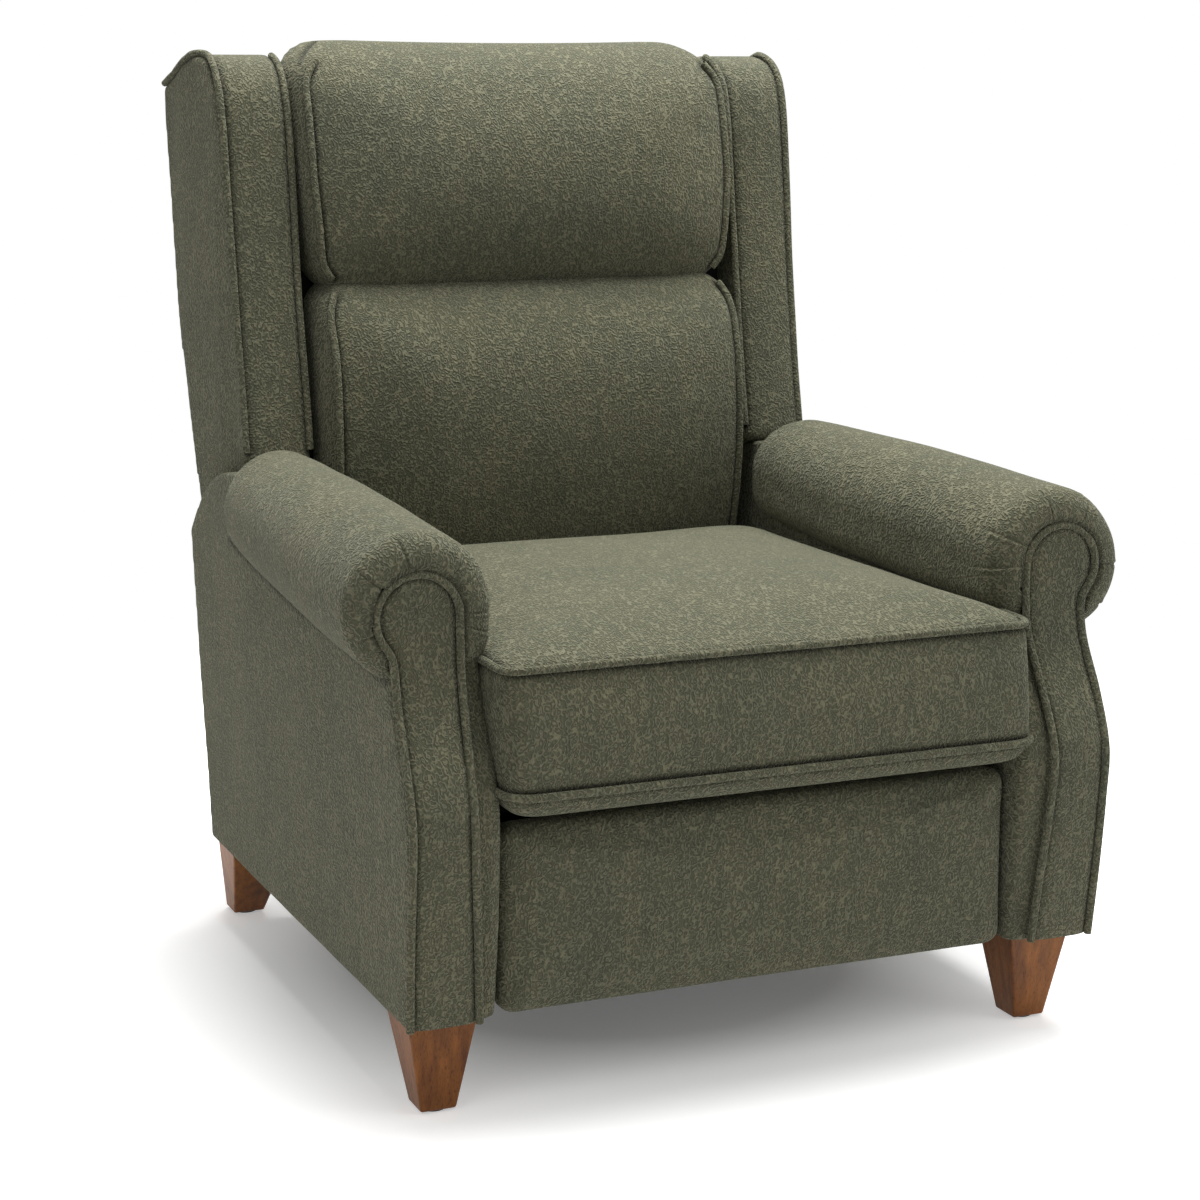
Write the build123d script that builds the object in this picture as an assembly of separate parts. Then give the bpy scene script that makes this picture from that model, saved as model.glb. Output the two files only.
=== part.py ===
from build123d import *
import math
import os

# Overall sizes. The chair faces -Y, +Z is up, the floor is Z = 0, and left means -X.
CHAIR_DEPTH = 1000.0  # seat cushion front to the rearmost edge of the wings
SEAT_GAP = 622.0  # between the inner faces of the two arms
ARM_BOTTOM = 112.0  # underside of the arms above the floor
CLEAR = 0.3  # soft pieces beside their neighbours
RUN = 0.05  # radial clearance of pins, tubes and bolts in their holes

# Arms
ARM_THICK = 98.0
ARM_FRONT_SETBACK = 42.0  # arm front at the floor end, behind the cushion front
ARM_BULGE = 27.0  # forward swell of the arm front at its flare
ARM_FLARE_Z = 345.0
ARM_NECK_SETBACK = 38.0  # neck under the roll, behind the arm front
ARM_NECK_Z = 455.0
ARM_REAR_SETBACK = 182.0  # arm rear at its underside, ahead of the wing rear
ARM_REAR_LEAN = 8.66  # degrees
FACING_THICK = 8.0
FACING_BORDER = 22.0  # inner boxing strip beside the facing
FACING_ROUND_R = 45.0
FRONT_BEND_R = 110.0
ROLL_FRONT_R = 75.0
ROLL_REAR_R = 66.0
ROLL_OFFSET = 70.0  # roll axis outside the arm's inner face
ROLL_FRONT_Z = 536.0
ROLL_LENGTH = 567.0
ROLL_SLOPE = 4.0  # degrees, rising to the rear
ROLL_FRONT_ROUND = 27.0
ROLL_REAR_ROUND = 45.0
ARM_BOARD_THICK = 18.0
ARM_BOARD_HEIGHT = 310.0
ARM_BOARD_INSET = 28.0  # board edges inside the arm's outline
MECH_RAIL_LOW = 150.0
MECH_RAIL_HIGH = 305.0

# Legs
LEG_TOP = 78.0
LEG_FOOT = 40.0
LEG_X = 363.0
FRONT_LEG_SETBACK = 63.0  # leg centre behind the arm front
REAR_LEG_INSET = 37.0  # leg centre ahead of the arm rear, at the arm
REAR_LEG_RAKE = 57.0  # how far the foot stands behind the top
GLIDE_R = 14.0
GLIDE_THICK = 3.0
BOLT_R = 4.0
BOLT_IN_LEG = 45.0
BOLT_IN_BOARD = 60.0

# Seat
SEAT_DECK_Z = 338.0
SEAT_RAIL_THICK = 22.0
SEAT_RAIL_WIDTH = 40.0
SEAT_FRONT_SETBACK = 100.0  # seat frame front behind the cushion front
SEAT_SIDE_Z = 486.0  # cushion's top edge
SEAT_CROWN_Z = 513.0
SEAT_FRONT_DRAFT = 17.0  # the cushion front leans back towards its top edge
SEAT_UNDERCUT = 20.0
SEAT_SIDE_DRAW = 5.0  # sides drawn in between the corners
SEAT_FRAME_GAP = 28.0  # seat frame rear ahead of the back pivot
SEAT_OVERHANG = 55.0  # cushion rear behind the seat frame
SEAT_LIP = 2.0  # lower front edge behind the cushion front
SEAT_LIP_Z = 358.0
SEAT_SIDE_DROP = 22.0  # crown lower at the sides
SPRING_COUNT = 6
SPRING_WIRE_R = 1.9
SPRING_SWING = 18.0
SPRING_BENDS = 14

# Back
PIVOT_SETBACK = 342.0  # back pivot ahead of the wing rear
PIVOT_Z = 310.0
BACK_TUBE_R = 12.5
BACK_LEAN = 9.46  # degrees
BACK_FRAME_SETBACK = 77.0  # frame front behind the pivot, at FRAME_REF_Z
FRAME_REF_Z = 440.0
FRAME_LOW_Z = 400.0
FRAME_TOP_Z = 1056.0
UPRIGHT_WIDTH = 34.0
UPRIGHT_DEPTH = 42.0
BACK_RAIL_HEIGHT = 50.0
WING_INNER = 297.0
WING_FRONT_OUTER = 382.0
WING_REAR_OUTER = 398.0
WING_FRONT_LOW_Y = 54.0  # wing front behind the pivot, at its lower end
WING_FRONT_HIGH_Y = 111.0
WING_FRONT_HIGH_Z = 982.0
WING_TOP_Z = 1100.0
WING_REAR_TOP_Z = 1062.0
WING_TOP_R = 85.0
WING_TOP_FLAT = 91.339  # level top edge, from the front corner's square
WING_WAIST_SETBACK = 32.0  # rear edge at its bend, ahead of the wing rear
WING_WAIST_Z = 800.0
WING_WAIST_R = 300.0
WING_LOW_SETBACK = 120.0
WING_LOW_Z = 503.0
ARM_CUT_R = 292.0  # arm rear top, struck from the back pivot
WING_GAP = 4.0
BACK_CUSHION_HALF = 284.0
BACK_CUSHION_LOW_Z = 405.0
BACK_CUSHION_SEAT_Z = 492.0  # where it swells out over the seat
BACK_CUSHION_HIGH_Z = 815.0
BACK_CUSHION_BULGE = 66.0  # beyond the straight line between its edges
BACK_CUSHION_THIN = 30.0
BACK_CUSHION_THICK = 52.0
HEAD_HALF = 288.0
HEAD_LOW_Z = 826.0
HEAD_RISE = 61.0  # headrest top above the frame
HEAD_BULGE = 46.0
HEAD_THICK = 62.0
HEAD_SHOULDER = 47.0  # front corner below the top
HEAD_OVERLAP = 62.0  # reach of the headrest over the frame's top
HEAD_REAR_LIP = 18.0
HEAD_SIDE_DROP = 14.0
CUSHION_EDGE = 26.0  # how much a cushion thins towards its sides
CUSHION_SIDE_DRAW = 6.0
OUTER_BACK_THICK = 18.0
OUTER_BACK_LOW_Z = 390.0
OUTER_BACK_SETBACK = 8.0
BACK_BRACKET_THICK = 5.0
BRACKET_TOP_DROP = 42.0  # bracket top below the arm's rear top
BRACKET_EYE_R = 24.0

# Footrest and its linkage, in side view
FOOT_HALF = 300.0
FOOT_LOW_Z = 112.0
FOOT_HIGH_Z = 311.0
FOOT_SETBACK = 51.0  # footrest front behind the cushion front
FOOT_PAD_THICK = 37.0
FOOT_CROWN = 8.0
FOOT_CORNER_R = 22.0
FOOT_BOARD_THICK = 18.0
FOOT_BOARD_INSET = 8.0
DRIVE_SETBACK = 225.0  # drive tube behind the cushion front
DRIVE_Z = 296.0
DRIVE_TUBE_R = 12.5
TUBE_WALL = 2.0
LINK_LENGTH = 185.0
LINK_REST_ANGLE = -120.0  # degrees from straight ahead, down is negative
CONTROL_BACK = 55.0  # control link's pivots behind and below the drive link's
CONTROL_DOWN = 15.0
TOE_PIVOT_BACK = 90.0  # footrest pivot behind the footrest front
TOE_PIVOT_Z = 250.0
TILT_CRANK = 40.0
LINK_THICK = 5.0
LANE_GAP = 1.0
DRIVE_LANE = 1  # planes of the links, counted inwards from the side plate
EXTENSION_LANE = 2
CONTROL_LANE = 3
TILT_LANE = 4
LINK_HALF_WIDTH = 10.0
EYE_R = 12.0
TUBE_EYE_R = 15.5
PIN_R = 5.0
OPEN_PIVOT_PLAY = 0.3
FLANGE_WIDTH = 44.0
FLANGE_THICK = 4.0
FLANGE_LOW_Z = 205.0
FLANGE_HIGH_Z = 268.0

# Base mechanism
PLATE_THICK = 4.0
PLATE_LOW_Z = 135.0
PLATE_HIGH_Z = 316.0
PLATE_FRONT_MARGIN = 25.0
PLATE_FLANGE = 28.0
CROSS_TUBE = 25.0
CROSS_TUBE_Z = 152.5
FRONT_TUBE_BACK = 180.0  # behind the drive tube
REAR_TUBE_BACK = 67.0  # behind the back pivot
REAR_PANEL_THICK = 18.0
REAR_PANEL_HIGH_Z = 330.0
REAR_RAIL_THICK = 18.0
REAR_RAIL_HIGH_Z = 285.0

# Drives
GEARBOX_WIDTH = 60.0
GEARBOX_DEPTH = 80.0
GEARBOX_LOW_Z = 220.0
GEARBOX_HIGH_Z = 312.0
MOTOR_R = 27.0
MOTOR_LENGTH = 110.0
TORQUE_ARM_THICK = 8.0
TORQUE_ARM_GRIP = 45.0
RAIL_WIDTH = 30.0
RAIL_HEIGHT = 20.0
LEVER_THICK = 8.0
LEVER_REACH = 86.0  # slider pin below the back pivot
LEVER_HALF_WIDTH = 13.0
LEVER_HUB_R = 20.0
LEVER_WALL = 7.0
RECLINE = 35.0  # degrees
SLOT_PLAY = 0.8
CHEEK = 6.0
CHEEK_GAP = 1.0
SLIDER_LENGTH = 44.0
SLIDER_BASE = 18.0
ACTUATOR_HEAD = 50.0
MOTOR_GAP = 1.0
SUPPLY_LENGTH = 150.0
SUPPLY_DEPTH = 60.0
SUPPLY_HEIGHT = 42.0
SUPPLY_X = 90.0
INLET_X = 230.0
INLET_Z = 160.0
INLET_WIDTH = 40.0
INLET_HEIGHT = 28.0
INLET_FLANGE = 5.0
INLET_FLANGE_THICK = 2.0
INLET_RECESS = 10.0

# Switch in the inner side of the left arm
SWITCH_LENGTH = 112.0
SWITCH_HEIGHT = 30.0
SWITCH_BODY = 18.0
SWITCH_PROUD = 3.0
SWITCH_ALONG = 160.0  # switch centre behind the roll's front
BUTTON_COUNT = 4
BUTTON_PITCH = 25.0
BUTTON_LENGTH = 17.0
BUTTON_HEIGHT = 15.0
BUTTON_DEPTH = 8.0
BUTTON_PROUD = 2.0
BUTTON_TRAVEL = 1.5
BUTTON_CLEAR = 0.4

front_y = -CHAIR_DEPTH / 2
rear_y = CHAIR_DEPTH / 2
inner = SEAT_GAP / 2
outer = inner + ARM_THICK
pivot_y = rear_y - PIVOT_SETBACK
arm_front = front_y + ARM_FRONT_SETBACK
arm_rear = rear_y - ARM_REAR_SETBACK
rear_slope = math.tan(math.radians(ARM_REAR_LEAN))
back_slope = math.tan(math.radians(BACK_LEAN))
roll_x = inner + ROLL_OFFSET
neck_y = arm_front + ARM_NECK_SETBACK
FAR = 2 * CHAIR_DEPTH  # reach of cutting tools

nodes = {}


def lane(number):
    """Inner and outer X of a link's plane, counted inwards from the side plate."""
    high = inner - PLATE_THICK - number * LANE_GAP - (number - 1) * LINK_THICK
    return high - LINK_THICK, high


def side_plate(edges, low_x, high_x):
    """A plate of a side-view outline, given as curves in the plane X = 0."""
    return Pos(low_x, 0, 0) * extrude(make_face(edges), high_x - low_x, dir=(1, 0, 0))


def outline(*points):
    """A closed side-view polygon from (y, z) points."""
    return Polyline(*[(0, y, z) for y, z in points], close=True)


def x_cylinder(radius, y, z, low_x, high_x):
    return Solid.make_cylinder(radius, high_x - low_x, Plane((low_x, y, z), z_dir=(1, 0, 0)))


def block(low, high):
    size = [b - a for a, b in zip(low, high)]
    centre = [(a + b) / 2 for a, b in zip(low, high)]
    return Pos(*centre) * Box(*size)


def add_pair(name, right):
    """Adds a right-hand piece and its mirrored left-hand twin."""
    nodes["right_" + name] = right
    nodes["left_" + name] = mirror(right, about=Plane.YZ)


def with_mirror(solids):
    return Compound(list(solids) + [mirror(s, about=Plane.YZ) for s in solids])


# Arms: a plywood board with a rail for the mechanism, the padded arm round it, and a keyhole facing
def front_curve(shift, top):
    """The arm's front in side view: it swells to the flare and draws back to the neck."""
    points = [
        (arm_front + shift, ARM_BOTTOM),
        (arm_front - ARM_BULGE + shift, ARM_FLARE_Z),
        (neck_y + shift, ARM_NECK_Z),
        (neck_y + shift, top),
    ]
    return FilletPolyline(*[(0, y, z) for y, z in points], radius=FRONT_BEND_R)


def arm_rear_at(z):
    return arm_rear + (z - ARM_BOTTOM) * rear_slope


roll_front = neck_y + FACING_THICK + ROLL_FRONT_R * math.tan(math.radians(ROLL_SLOPE))
roll_plane = Plane(
    (roll_x, roll_front, ROLL_FRONT_Z),
    x_dir=(1, 0, 0),
    z_dir=(0, math.cos(math.radians(ROLL_SLOPE)), math.sin(math.radians(ROLL_SLOPE))),
)
roll = Solid.make_cone(ROLL_FRONT_R, ROLL_REAR_R, ROLL_LENGTH, roll_plane)
rims = roll.edges().filter_by(GeomType.CIRCLE).sort_by(Axis.Y)
roll = fillet(rims[0], ROLL_FRONT_ROUND)
rims = roll.edges().filter_by(GeomType.CIRCLE).sort_by(Axis.Y)
roll = fillet(rims[-1], ROLL_REAR_ROUND)

roll_rise = math.tan(math.radians(ROLL_SLOPE))
step_y = roll_front + ROLL_LENGTH - ROLL_REAR_ROUND
step_z = ROLL_FRONT_Z + (step_y - roll_front) * roll_rise
top_z = PIVOT_Z + ARM_CUT_R + ROLL_REAR_R
curve = front_curve(FACING_THICK, ROLL_FRONT_Z)
slab_edges = curve + Polyline(
    curve @ 1,
    (0, roll_front, ROLL_FRONT_Z),
    (0, step_y, step_z),
    (0, step_y, top_z),
    (0, arm_rear_at(top_z), top_z),
    (0, arm_rear, ARM_BOTTOM),
    curve @ 0,
)
slab = side_plate(slab_edges, inner, outer)
above_cut = block((inner, step_y - ROLL_REAR_R, PIVOT_Z + ROLL_REAR_R), (outer, rear_y, FAR))
slab -= above_cut - x_cylinder(ARM_CUT_R, pivot_y, PIVOT_Z, inner, outer)
arm_body = slab + roll

board_low_x = LEG_X - ARM_BOARD_THICK / 2
board = block(
    (board_low_x, arm_front + FACING_THICK + ARM_BOARD_INSET, ARM_BOTTOM),
    (board_low_x + ARM_BOARD_THICK, arm_rear - ARM_BOARD_INSET, ARM_BOTTOM + ARM_BOARD_HEIGHT),
)
drive_y = front_y + DRIVE_SETBACK
plate_front = drive_y - PLATE_FRONT_MARGIN
rear_tube_y = pivot_y + REAR_TUBE_BACK
plate_rear = rear_tube_y + CROSS_TUBE
rail = block((inner, plate_front, MECH_RAIL_LOW), (board_low_x, plate_rear, MECH_RAIL_HIGH))

front_leg_y = arm_front + FRONT_LEG_SETBACK
rear_leg_y = arm_rear - REAR_LEG_INSET
bolt_low = ARM_BOTTOM - BOLT_IN_LEG
bolt_high = ARM_BOTTOM + BOLT_IN_BOARD


def leg_bolt(y, radius):
    return Solid.make_cylinder(radius, bolt_high - bolt_low, Plane((LEG_X, y, bolt_low)))


arm_frame = board + rail
for leg_y in (front_leg_y, rear_leg_y):
    arm_frame -= leg_bolt(leg_y, BOLT_R + RUN)
add_pair("arm_frame", arm_frame)
arm_pad = arm_body - board - rail
nodes["right_arm_pad"] = arm_pad

facing_top = ROLL_FRONT_Z + ROLL_FRONT_R
facing_front = front_curve(0, facing_top)
facing_back = front_curve(FACING_THICK, facing_top)
layer_edges = facing_front + facing_back + Line(facing_front @ 0, facing_back @ 0)
layer_edges += Line(facing_front @ 1, facing_back @ 1)
layer = side_plate(layer_edges, inner, outer + ROLL_FRONT_R)
keyhole = block((inner + FACING_BORDER, -FAR, ARM_BOTTOM), (outer, FAR, ROLL_FRONT_Z))
keyhole += Solid.make_cylinder(
    FACING_ROUND_R, 2 * FAR, Plane((roll_x, -FAR, ROLL_FRONT_Z), z_dir=(0, 1, 0))
)
add_pair("arm_front", layer & keyhole)

# Legs: tapered wood, the rear pair raked, each on a glide and held by a bolt into the arm board
def leg(centre_y, rake):
    top = Pos(LEG_X, centre_y, ARM_BOTTOM) * Rectangle(LEG_TOP, LEG_TOP)
    foot = Pos(LEG_X, centre_y + rake, GLIDE_THICK) * Rectangle(LEG_FOOT, LEG_FOOT)
    return loft([foot.face(), top.face()]) - leg_bolt(centre_y, BOLT_R + RUN)


add_pair("front_leg", leg(front_leg_y, 0))
add_pair("rear_leg", leg(rear_leg_y, REAR_LEG_RAKE))
nodes["leg_bolts"] = with_mirror([leg_bolt(y, BOLT_R) for y in (front_leg_y, rear_leg_y)])
glide_places = [front_leg_y, rear_leg_y + REAR_LEG_RAKE]
glides = [Solid.make_cylinder(GLIDE_R, GLIDE_THICK, Plane((LEG_X, y, 0))) for y in glide_places]
nodes["leg_glides"] = with_mirror(glides)

# Base: steel side plates with a flange for the seat, two cross tubes, and the closed rear
control_y = drive_y + CONTROL_BACK
control_z = DRIVE_Z - CONTROL_DOWN
front_tube_y = drive_y + FRONT_TUBE_BACK
flange_rear = pivot_y - SEAT_FRAME_GAP
plate = side_plate(
    outline(
        (plate_front, PLATE_LOW_Z),
        (plate_front, PLATE_HIGH_Z),
        (flange_rear, PLATE_HIGH_Z),
        (pivot_y - BRACKET_EYE_R, PIVOT_Z + BRACKET_EYE_R),
        (pivot_y + BRACKET_EYE_R, PIVOT_Z + BRACKET_EYE_R),
        (plate_rear, MECH_RAIL_HIGH),
        (plate_rear, PLATE_LOW_Z),
    ),
    inner - PLATE_THICK,
    inner,
)
plate += block(
    (inner - PLATE_FLANGE, plate_front, PLATE_HIGH_Z - PLATE_THICK),
    (inner, flange_rear, PLATE_HIGH_Z),
)
plate += x_cylinder(PIN_R, control_y, control_z, lane(CONTROL_LANE)[0], inner)
plate -= x_cylinder(DRIVE_TUBE_R + RUN, drive_y, DRIVE_Z, inner - PLATE_THICK, inner)
plate -= x_cylinder(BACK_TUBE_R + RUN, pivot_y, PIVOT_Z, inner - PLATE_THICK, inner)
add_pair("side_plate", plate)


def cross_tube(y):
    half = CROSS_TUBE / 2
    reach = inner - PLATE_THICK
    solid = block((-reach, y - half, CROSS_TUBE_Z - half), (reach, y + half, CROSS_TUBE_Z + half))
    hollow = half - TUBE_WALL
    return solid - block(
        (-reach, y - hollow, CROSS_TUBE_Z - hollow), (reach, y + hollow, CROSS_TUBE_Z + hollow)
    )


nodes["cross_tubes"] = Compound([cross_tube(front_tube_y), cross_tube(rear_tube_y)])


def rear_board(outer_gap, thick, high_z):
    low = arm_rear - outer_gap
    high = arm_rear_at(high_z) - outer_gap
    face = outline((low, ARM_BOTTOM), (high, high_z), (high - thick, high_z), (low - thick, ARM_BOTTOM))
    reach = inner - CLEAR
    return side_plate(face, -reach, reach)


inlet_y = arm_rear_at(INLET_Z)
inlet_back = inlet_y - REAR_PANEL_THICK - REAR_RAIL_THICK
inlet_low = (INLET_X - INLET_WIDTH / 2, inlet_back, INLET_Z - INLET_HEIGHT / 2)
inlet_high = (INLET_X + INLET_WIDTH / 2, inlet_y + INLET_FLANGE, INLET_Z + INLET_HEIGHT / 2)
inlet_hole = block(
    (inlet_low[0], inlet_back - REAR_RAIL_THICK, inlet_low[2]),
    (inlet_high[0], inlet_y + REAR_RAIL_THICK, inlet_high[2]),
)
nodes["rear_panel"] = rear_board(0, REAR_PANEL_THICK, REAR_PANEL_HIGH_Z) - inlet_hole
nodes["rear_rail"] = rear_board(REAR_PANEL_THICK, REAR_RAIL_THICK, REAR_RAIL_HIGH_Z) - inlet_hole

inlet = block(inlet_low, inlet_high)
inlet += block(
    (inlet_low[0] - INLET_FLANGE, inlet_high[1], inlet_low[2] - INLET_FLANGE),
    (inlet_high[0] + INLET_FLANGE, inlet_high[1] + INLET_FLANGE_THICK, inlet_high[2] + INLET_FLANGE),
)
recess_floor = inlet_high[1] + INLET_FLANGE_THICK - INLET_RECESS
inlet -= block(
    (inlet_low[0] + INLET_FLANGE, recess_floor, inlet_low[2] + INLET_FLANGE),
    (inlet_high[0] - INLET_FLANGE, FAR, inlet_high[2] - INLET_FLANGE),
)
nodes["power_inlet"] = inlet

# Seat: a wooden frame on the plates' flanges, sinuous springs across it, and the loose cushion
seat_low = SEAT_DECK_Z - SEAT_RAIL_THICK
seat_front = front_y + SEAT_FRONT_SETBACK
seat_half = inner - LANE_GAP
side_rail = block((seat_half - SEAT_RAIL_WIDTH, seat_front, seat_low), (seat_half, flange_rear, SEAT_DECK_Z))
nodes["seat_side_rails"] = with_mirror([side_rail])
rail_reach = seat_half - SEAT_RAIL_WIDTH
cross_rails = [
    block((-rail_reach, y, seat_low), (rail_reach, y + SEAT_RAIL_WIDTH, SEAT_DECK_Z))
    for y in (seat_front, flange_rear - SEAT_RAIL_WIDTH)
]
nodes["seat_cross_rails"] = Compound(cross_rails)


def sinuous_spring(x):
    """A flat zigzag wire of half turns and straight runs between the front and rear rails."""
    seat_in = SPRING_WIRE_R + RUN
    start = seat_front + SEAT_RAIL_WIDTH + seat_in
    length = flange_rear - SEAT_RAIL_WIDTH - seat_in - start
    z = SEAT_DECK_Z - SEAT_RAIL_THICK / 2
    pitch = length / SPRING_BENDS
    edges = []
    for bend in range(SPRING_BENDS):
        y = start + bend * pitch
        side = 1 if bend % 2 == 0 else -1
        turn_x = x + side * SPRING_SWING / 2
        if bend == 0:
            edges.append(Line((x, y, z), (turn_x, y, z)))
        tip = (turn_x + side * pitch / 2, y + pitch / 2, z)
        edges.append(ThreePointArc((turn_x, y, z), tip, (turn_x, y + pitch, z)))
        run_end = x if bend == SPRING_BENDS - 1 else x - side * SPRING_SWING / 2
        edges.append(Line((turn_x, y + pitch, z), (run_end, y + pitch, z)))
    path = Wire(edges)
    return sweep(Plane(path @ 0, z_dir=path % 0) * Circle(SPRING_WIRE_R), path=path)


spring_pitch = 2 * rail_reach / SPRING_COUNT
spring_places = [-rail_reach + (i + 0.5) * spring_pitch for i in range(SPRING_COUNT)]
nodes["seat_springs"] = Compound([sinuous_spring(x).solid() for x in spring_places])


def cushion(half, profile, draw, low_y, high_y):
    """A crowned pad lofted across the chair, with its two sides drawn in between the corners."""
    stations = [(-half, 1.0), (0.0, 0.0), (half, 1.0)]
    body = loft([Pos(x, 0, 0) * make_face(profile(edge)) for x, edge in stations])
    sides = ThreePointArc((half, low_y), (half - draw, (low_y + high_y) / 2), (half, high_y))
    sides += mirror(sides, about=Plane.YZ)
    sides += Line((-half, low_y), (half, low_y)) + Line((-half, high_y), (half, high_y))
    return body & Pos(0, 0, -FAR) * extrude(make_face(sides), 2 * FAR, dir=(0, 0, 1))


cushion_rear = flange_rear + SEAT_OVERHANG
lip_share = 1 / (1 + math.sqrt(SEAT_FRONT_DRAFT / SEAT_LIP))
nose_z = SEAT_LIP_Z + (SEAT_SIDE_Z - SEAT_LIP_Z) * lip_share


def seat_profile(edge):
    """Side view of the seat cushion; edge is 0 in the middle and 1 at the sides."""
    nose = front_y + edge * SEAT_LIP
    crown = SEAT_CROWN_Z - edge * SEAT_SIDE_DROP
    low = SEAT_DECK_Z + CLEAR
    lower_edge = (0, nose + SEAT_LIP, SEAT_LIP_Z)
    upper_edge = (0, nose + SEAT_FRONT_DRAFT, SEAT_SIDE_Z)
    rear_edge = (0, cushion_rear, SEAT_SIDE_Z)
    shape = ThreePointArc(lower_edge, (0, nose, nose_z), upper_edge)
    shape += ThreePointArc(upper_edge, (0, (upper_edge[1] + cushion_rear) / 2, crown), rear_edge)
    return shape + Polyline(
        rear_edge, (0, cushion_rear, low), (0, nose + SEAT_UNDERCUT, low), lower_edge
    )


nodes["seat_cushion"] = cushion(inner - 2 * CLEAR, seat_profile, SEAT_SIDE_DRAW, front_y, cushion_rear)


# Back: a wooden frame on steel brackets that turn on a tube, with wings, pads and an outer cover
def frame_front(z):
    return pivot_y + BACK_FRAME_SETBACK + (z - FRAME_REF_Z) * back_slope


def leaning_bar(low_z, high_z, low_x, high_x):
    face = outline(
        (frame_front(low_z), low_z),
        (frame_front(high_z), high_z),
        (frame_front(high_z) + UPRIGHT_DEPTH, high_z),
        (frame_front(low_z) + UPRIGHT_DEPTH, low_z),
    )
    return side_plate(face, low_x, high_x)


upright_out = WING_INNER - CLEAR
upright_in = upright_out - UPRIGHT_WIDTH
rail_lows = [
    FRAME_LOW_Z,
    BACK_CUSHION_HIGH_Z - BACK_RAIL_HEIGHT / 2,
    FRAME_TOP_Z - BACK_RAIL_HEIGHT,
]
frame_bars = [leaning_bar(z, z + BACK_RAIL_HEIGHT, -upright_in, upright_in) for z in rail_lows]
upright = leaning_bar(FRAME_LOW_Z, FRAME_TOP_Z, upright_in, upright_out)
nodes["back_uprights"] = with_mirror([upright])
nodes["back_rails"] = Compound(frame_bars)

bracket_in = upright_out
bracket_out = bracket_in + BACK_BRACKET_THICK
bracket_low_y = frame_front(FRAME_LOW_Z)
bracket_high = PIVOT_Z + ARM_CUT_R - BRACKET_TOP_DROP
bracket = side_plate(
    outline(
        (pivot_y, PIVOT_Z + BRACKET_EYE_R),
        (cushion_rear + BACK_BRACKET_THICK, PIVOT_Z + BRACKET_EYE_R),
        (bracket_low_y, FRAME_LOW_Z),
        (frame_front(bracket_high), bracket_high),
        (frame_front(bracket_high) + UPRIGHT_DEPTH, bracket_high),
        (bracket_low_y + UPRIGHT_DEPTH, FRAME_LOW_Z),
        (pivot_y + BRACKET_EYE_R, PIVOT_Z),
        (pivot_y, PIVOT_Z - BRACKET_EYE_R),
    ),
    bracket_in,
    bracket_out,
)
bracket += x_cylinder(BRACKET_EYE_R, pivot_y, PIVOT_Z, bracket_in, bracket_out)
bracket -= x_cylinder(BACK_TUBE_R + RUN, pivot_y, PIVOT_Z, bracket_in, bracket_out)
add_pair("back_bracket", bracket)


def turning_tube(radius, y, z):
    reach = inner - CLEAR
    return x_cylinder(radius, y, z, -reach, reach) - x_cylinder(radius - TUBE_WALL, y, z, -reach, reach)


nodes["back_pivot_tube"] = turning_tube(BACK_TUBE_R, pivot_y, PIVOT_Z)

wing_corner_y = pivot_y + WING_FRONT_HIGH_Y + (WING_TOP_Z - WING_FRONT_HIGH_Z) * back_slope
wing_points = [
    (pivot_y + WING_FRONT_LOW_Y, PIVOT_Z),
    (pivot_y + WING_FRONT_LOW_Y, PIVOT_Z + ARM_CUT_R),
    (pivot_y + WING_FRONT_HIGH_Y, WING_FRONT_HIGH_Z),
    (wing_corner_y, WING_TOP_Z),
    (wing_corner_y + WING_TOP_FLAT, WING_TOP_Z),
    (rear_y, WING_REAR_TOP_Z),
    (rear_y - WING_WAIST_SETBACK, WING_WAIST_Z),
    (rear_y - WING_LOW_SETBACK, WING_LOW_Z),
    (rear_y - WING_LOW_SETBACK, PIVOT_Z),
]
wing_face = make_face(outline(*wing_points))
wing = Pos(WING_INNER, 0, 0) * extrude(wing_face, WING_REAR_OUTER - WING_INNER, dir=(1, 0, 0))
wing_edges = wing.edges().filter_by(Axis.X)


def wing_edge(y, z):
    """The wing's edge across X that passes nearest to a side-view point."""
    return wing_edges.sort_by(lambda e: abs(e.center().Y - y) + abs(e.center().Z - z))[0]


wing = fillet(wing_edge(*wing_points[3]), WING_TOP_R)
wing_edges = wing.edges().filter_by(Axis.X)
wing = fillet(wing_edge(*wing_points[6]), WING_WAIST_R)
wing_front = pivot_y + WING_FRONT_LOW_Y
flare = Polyline(
    (WING_INNER, wing_front),
    (WING_FRONT_OUTER, wing_front),
    (WING_REAR_OUTER, rear_y),
    (WING_INNER, rear_y),
    close=True,
)
wing &= extrude(make_face(flare), FAR, dir=(0, 0, 1))
wing -= x_cylinder(ARM_CUT_R + WING_GAP, pivot_y, PIVOT_Z, 0, FAR)
add_pair("wing", wing)


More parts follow.
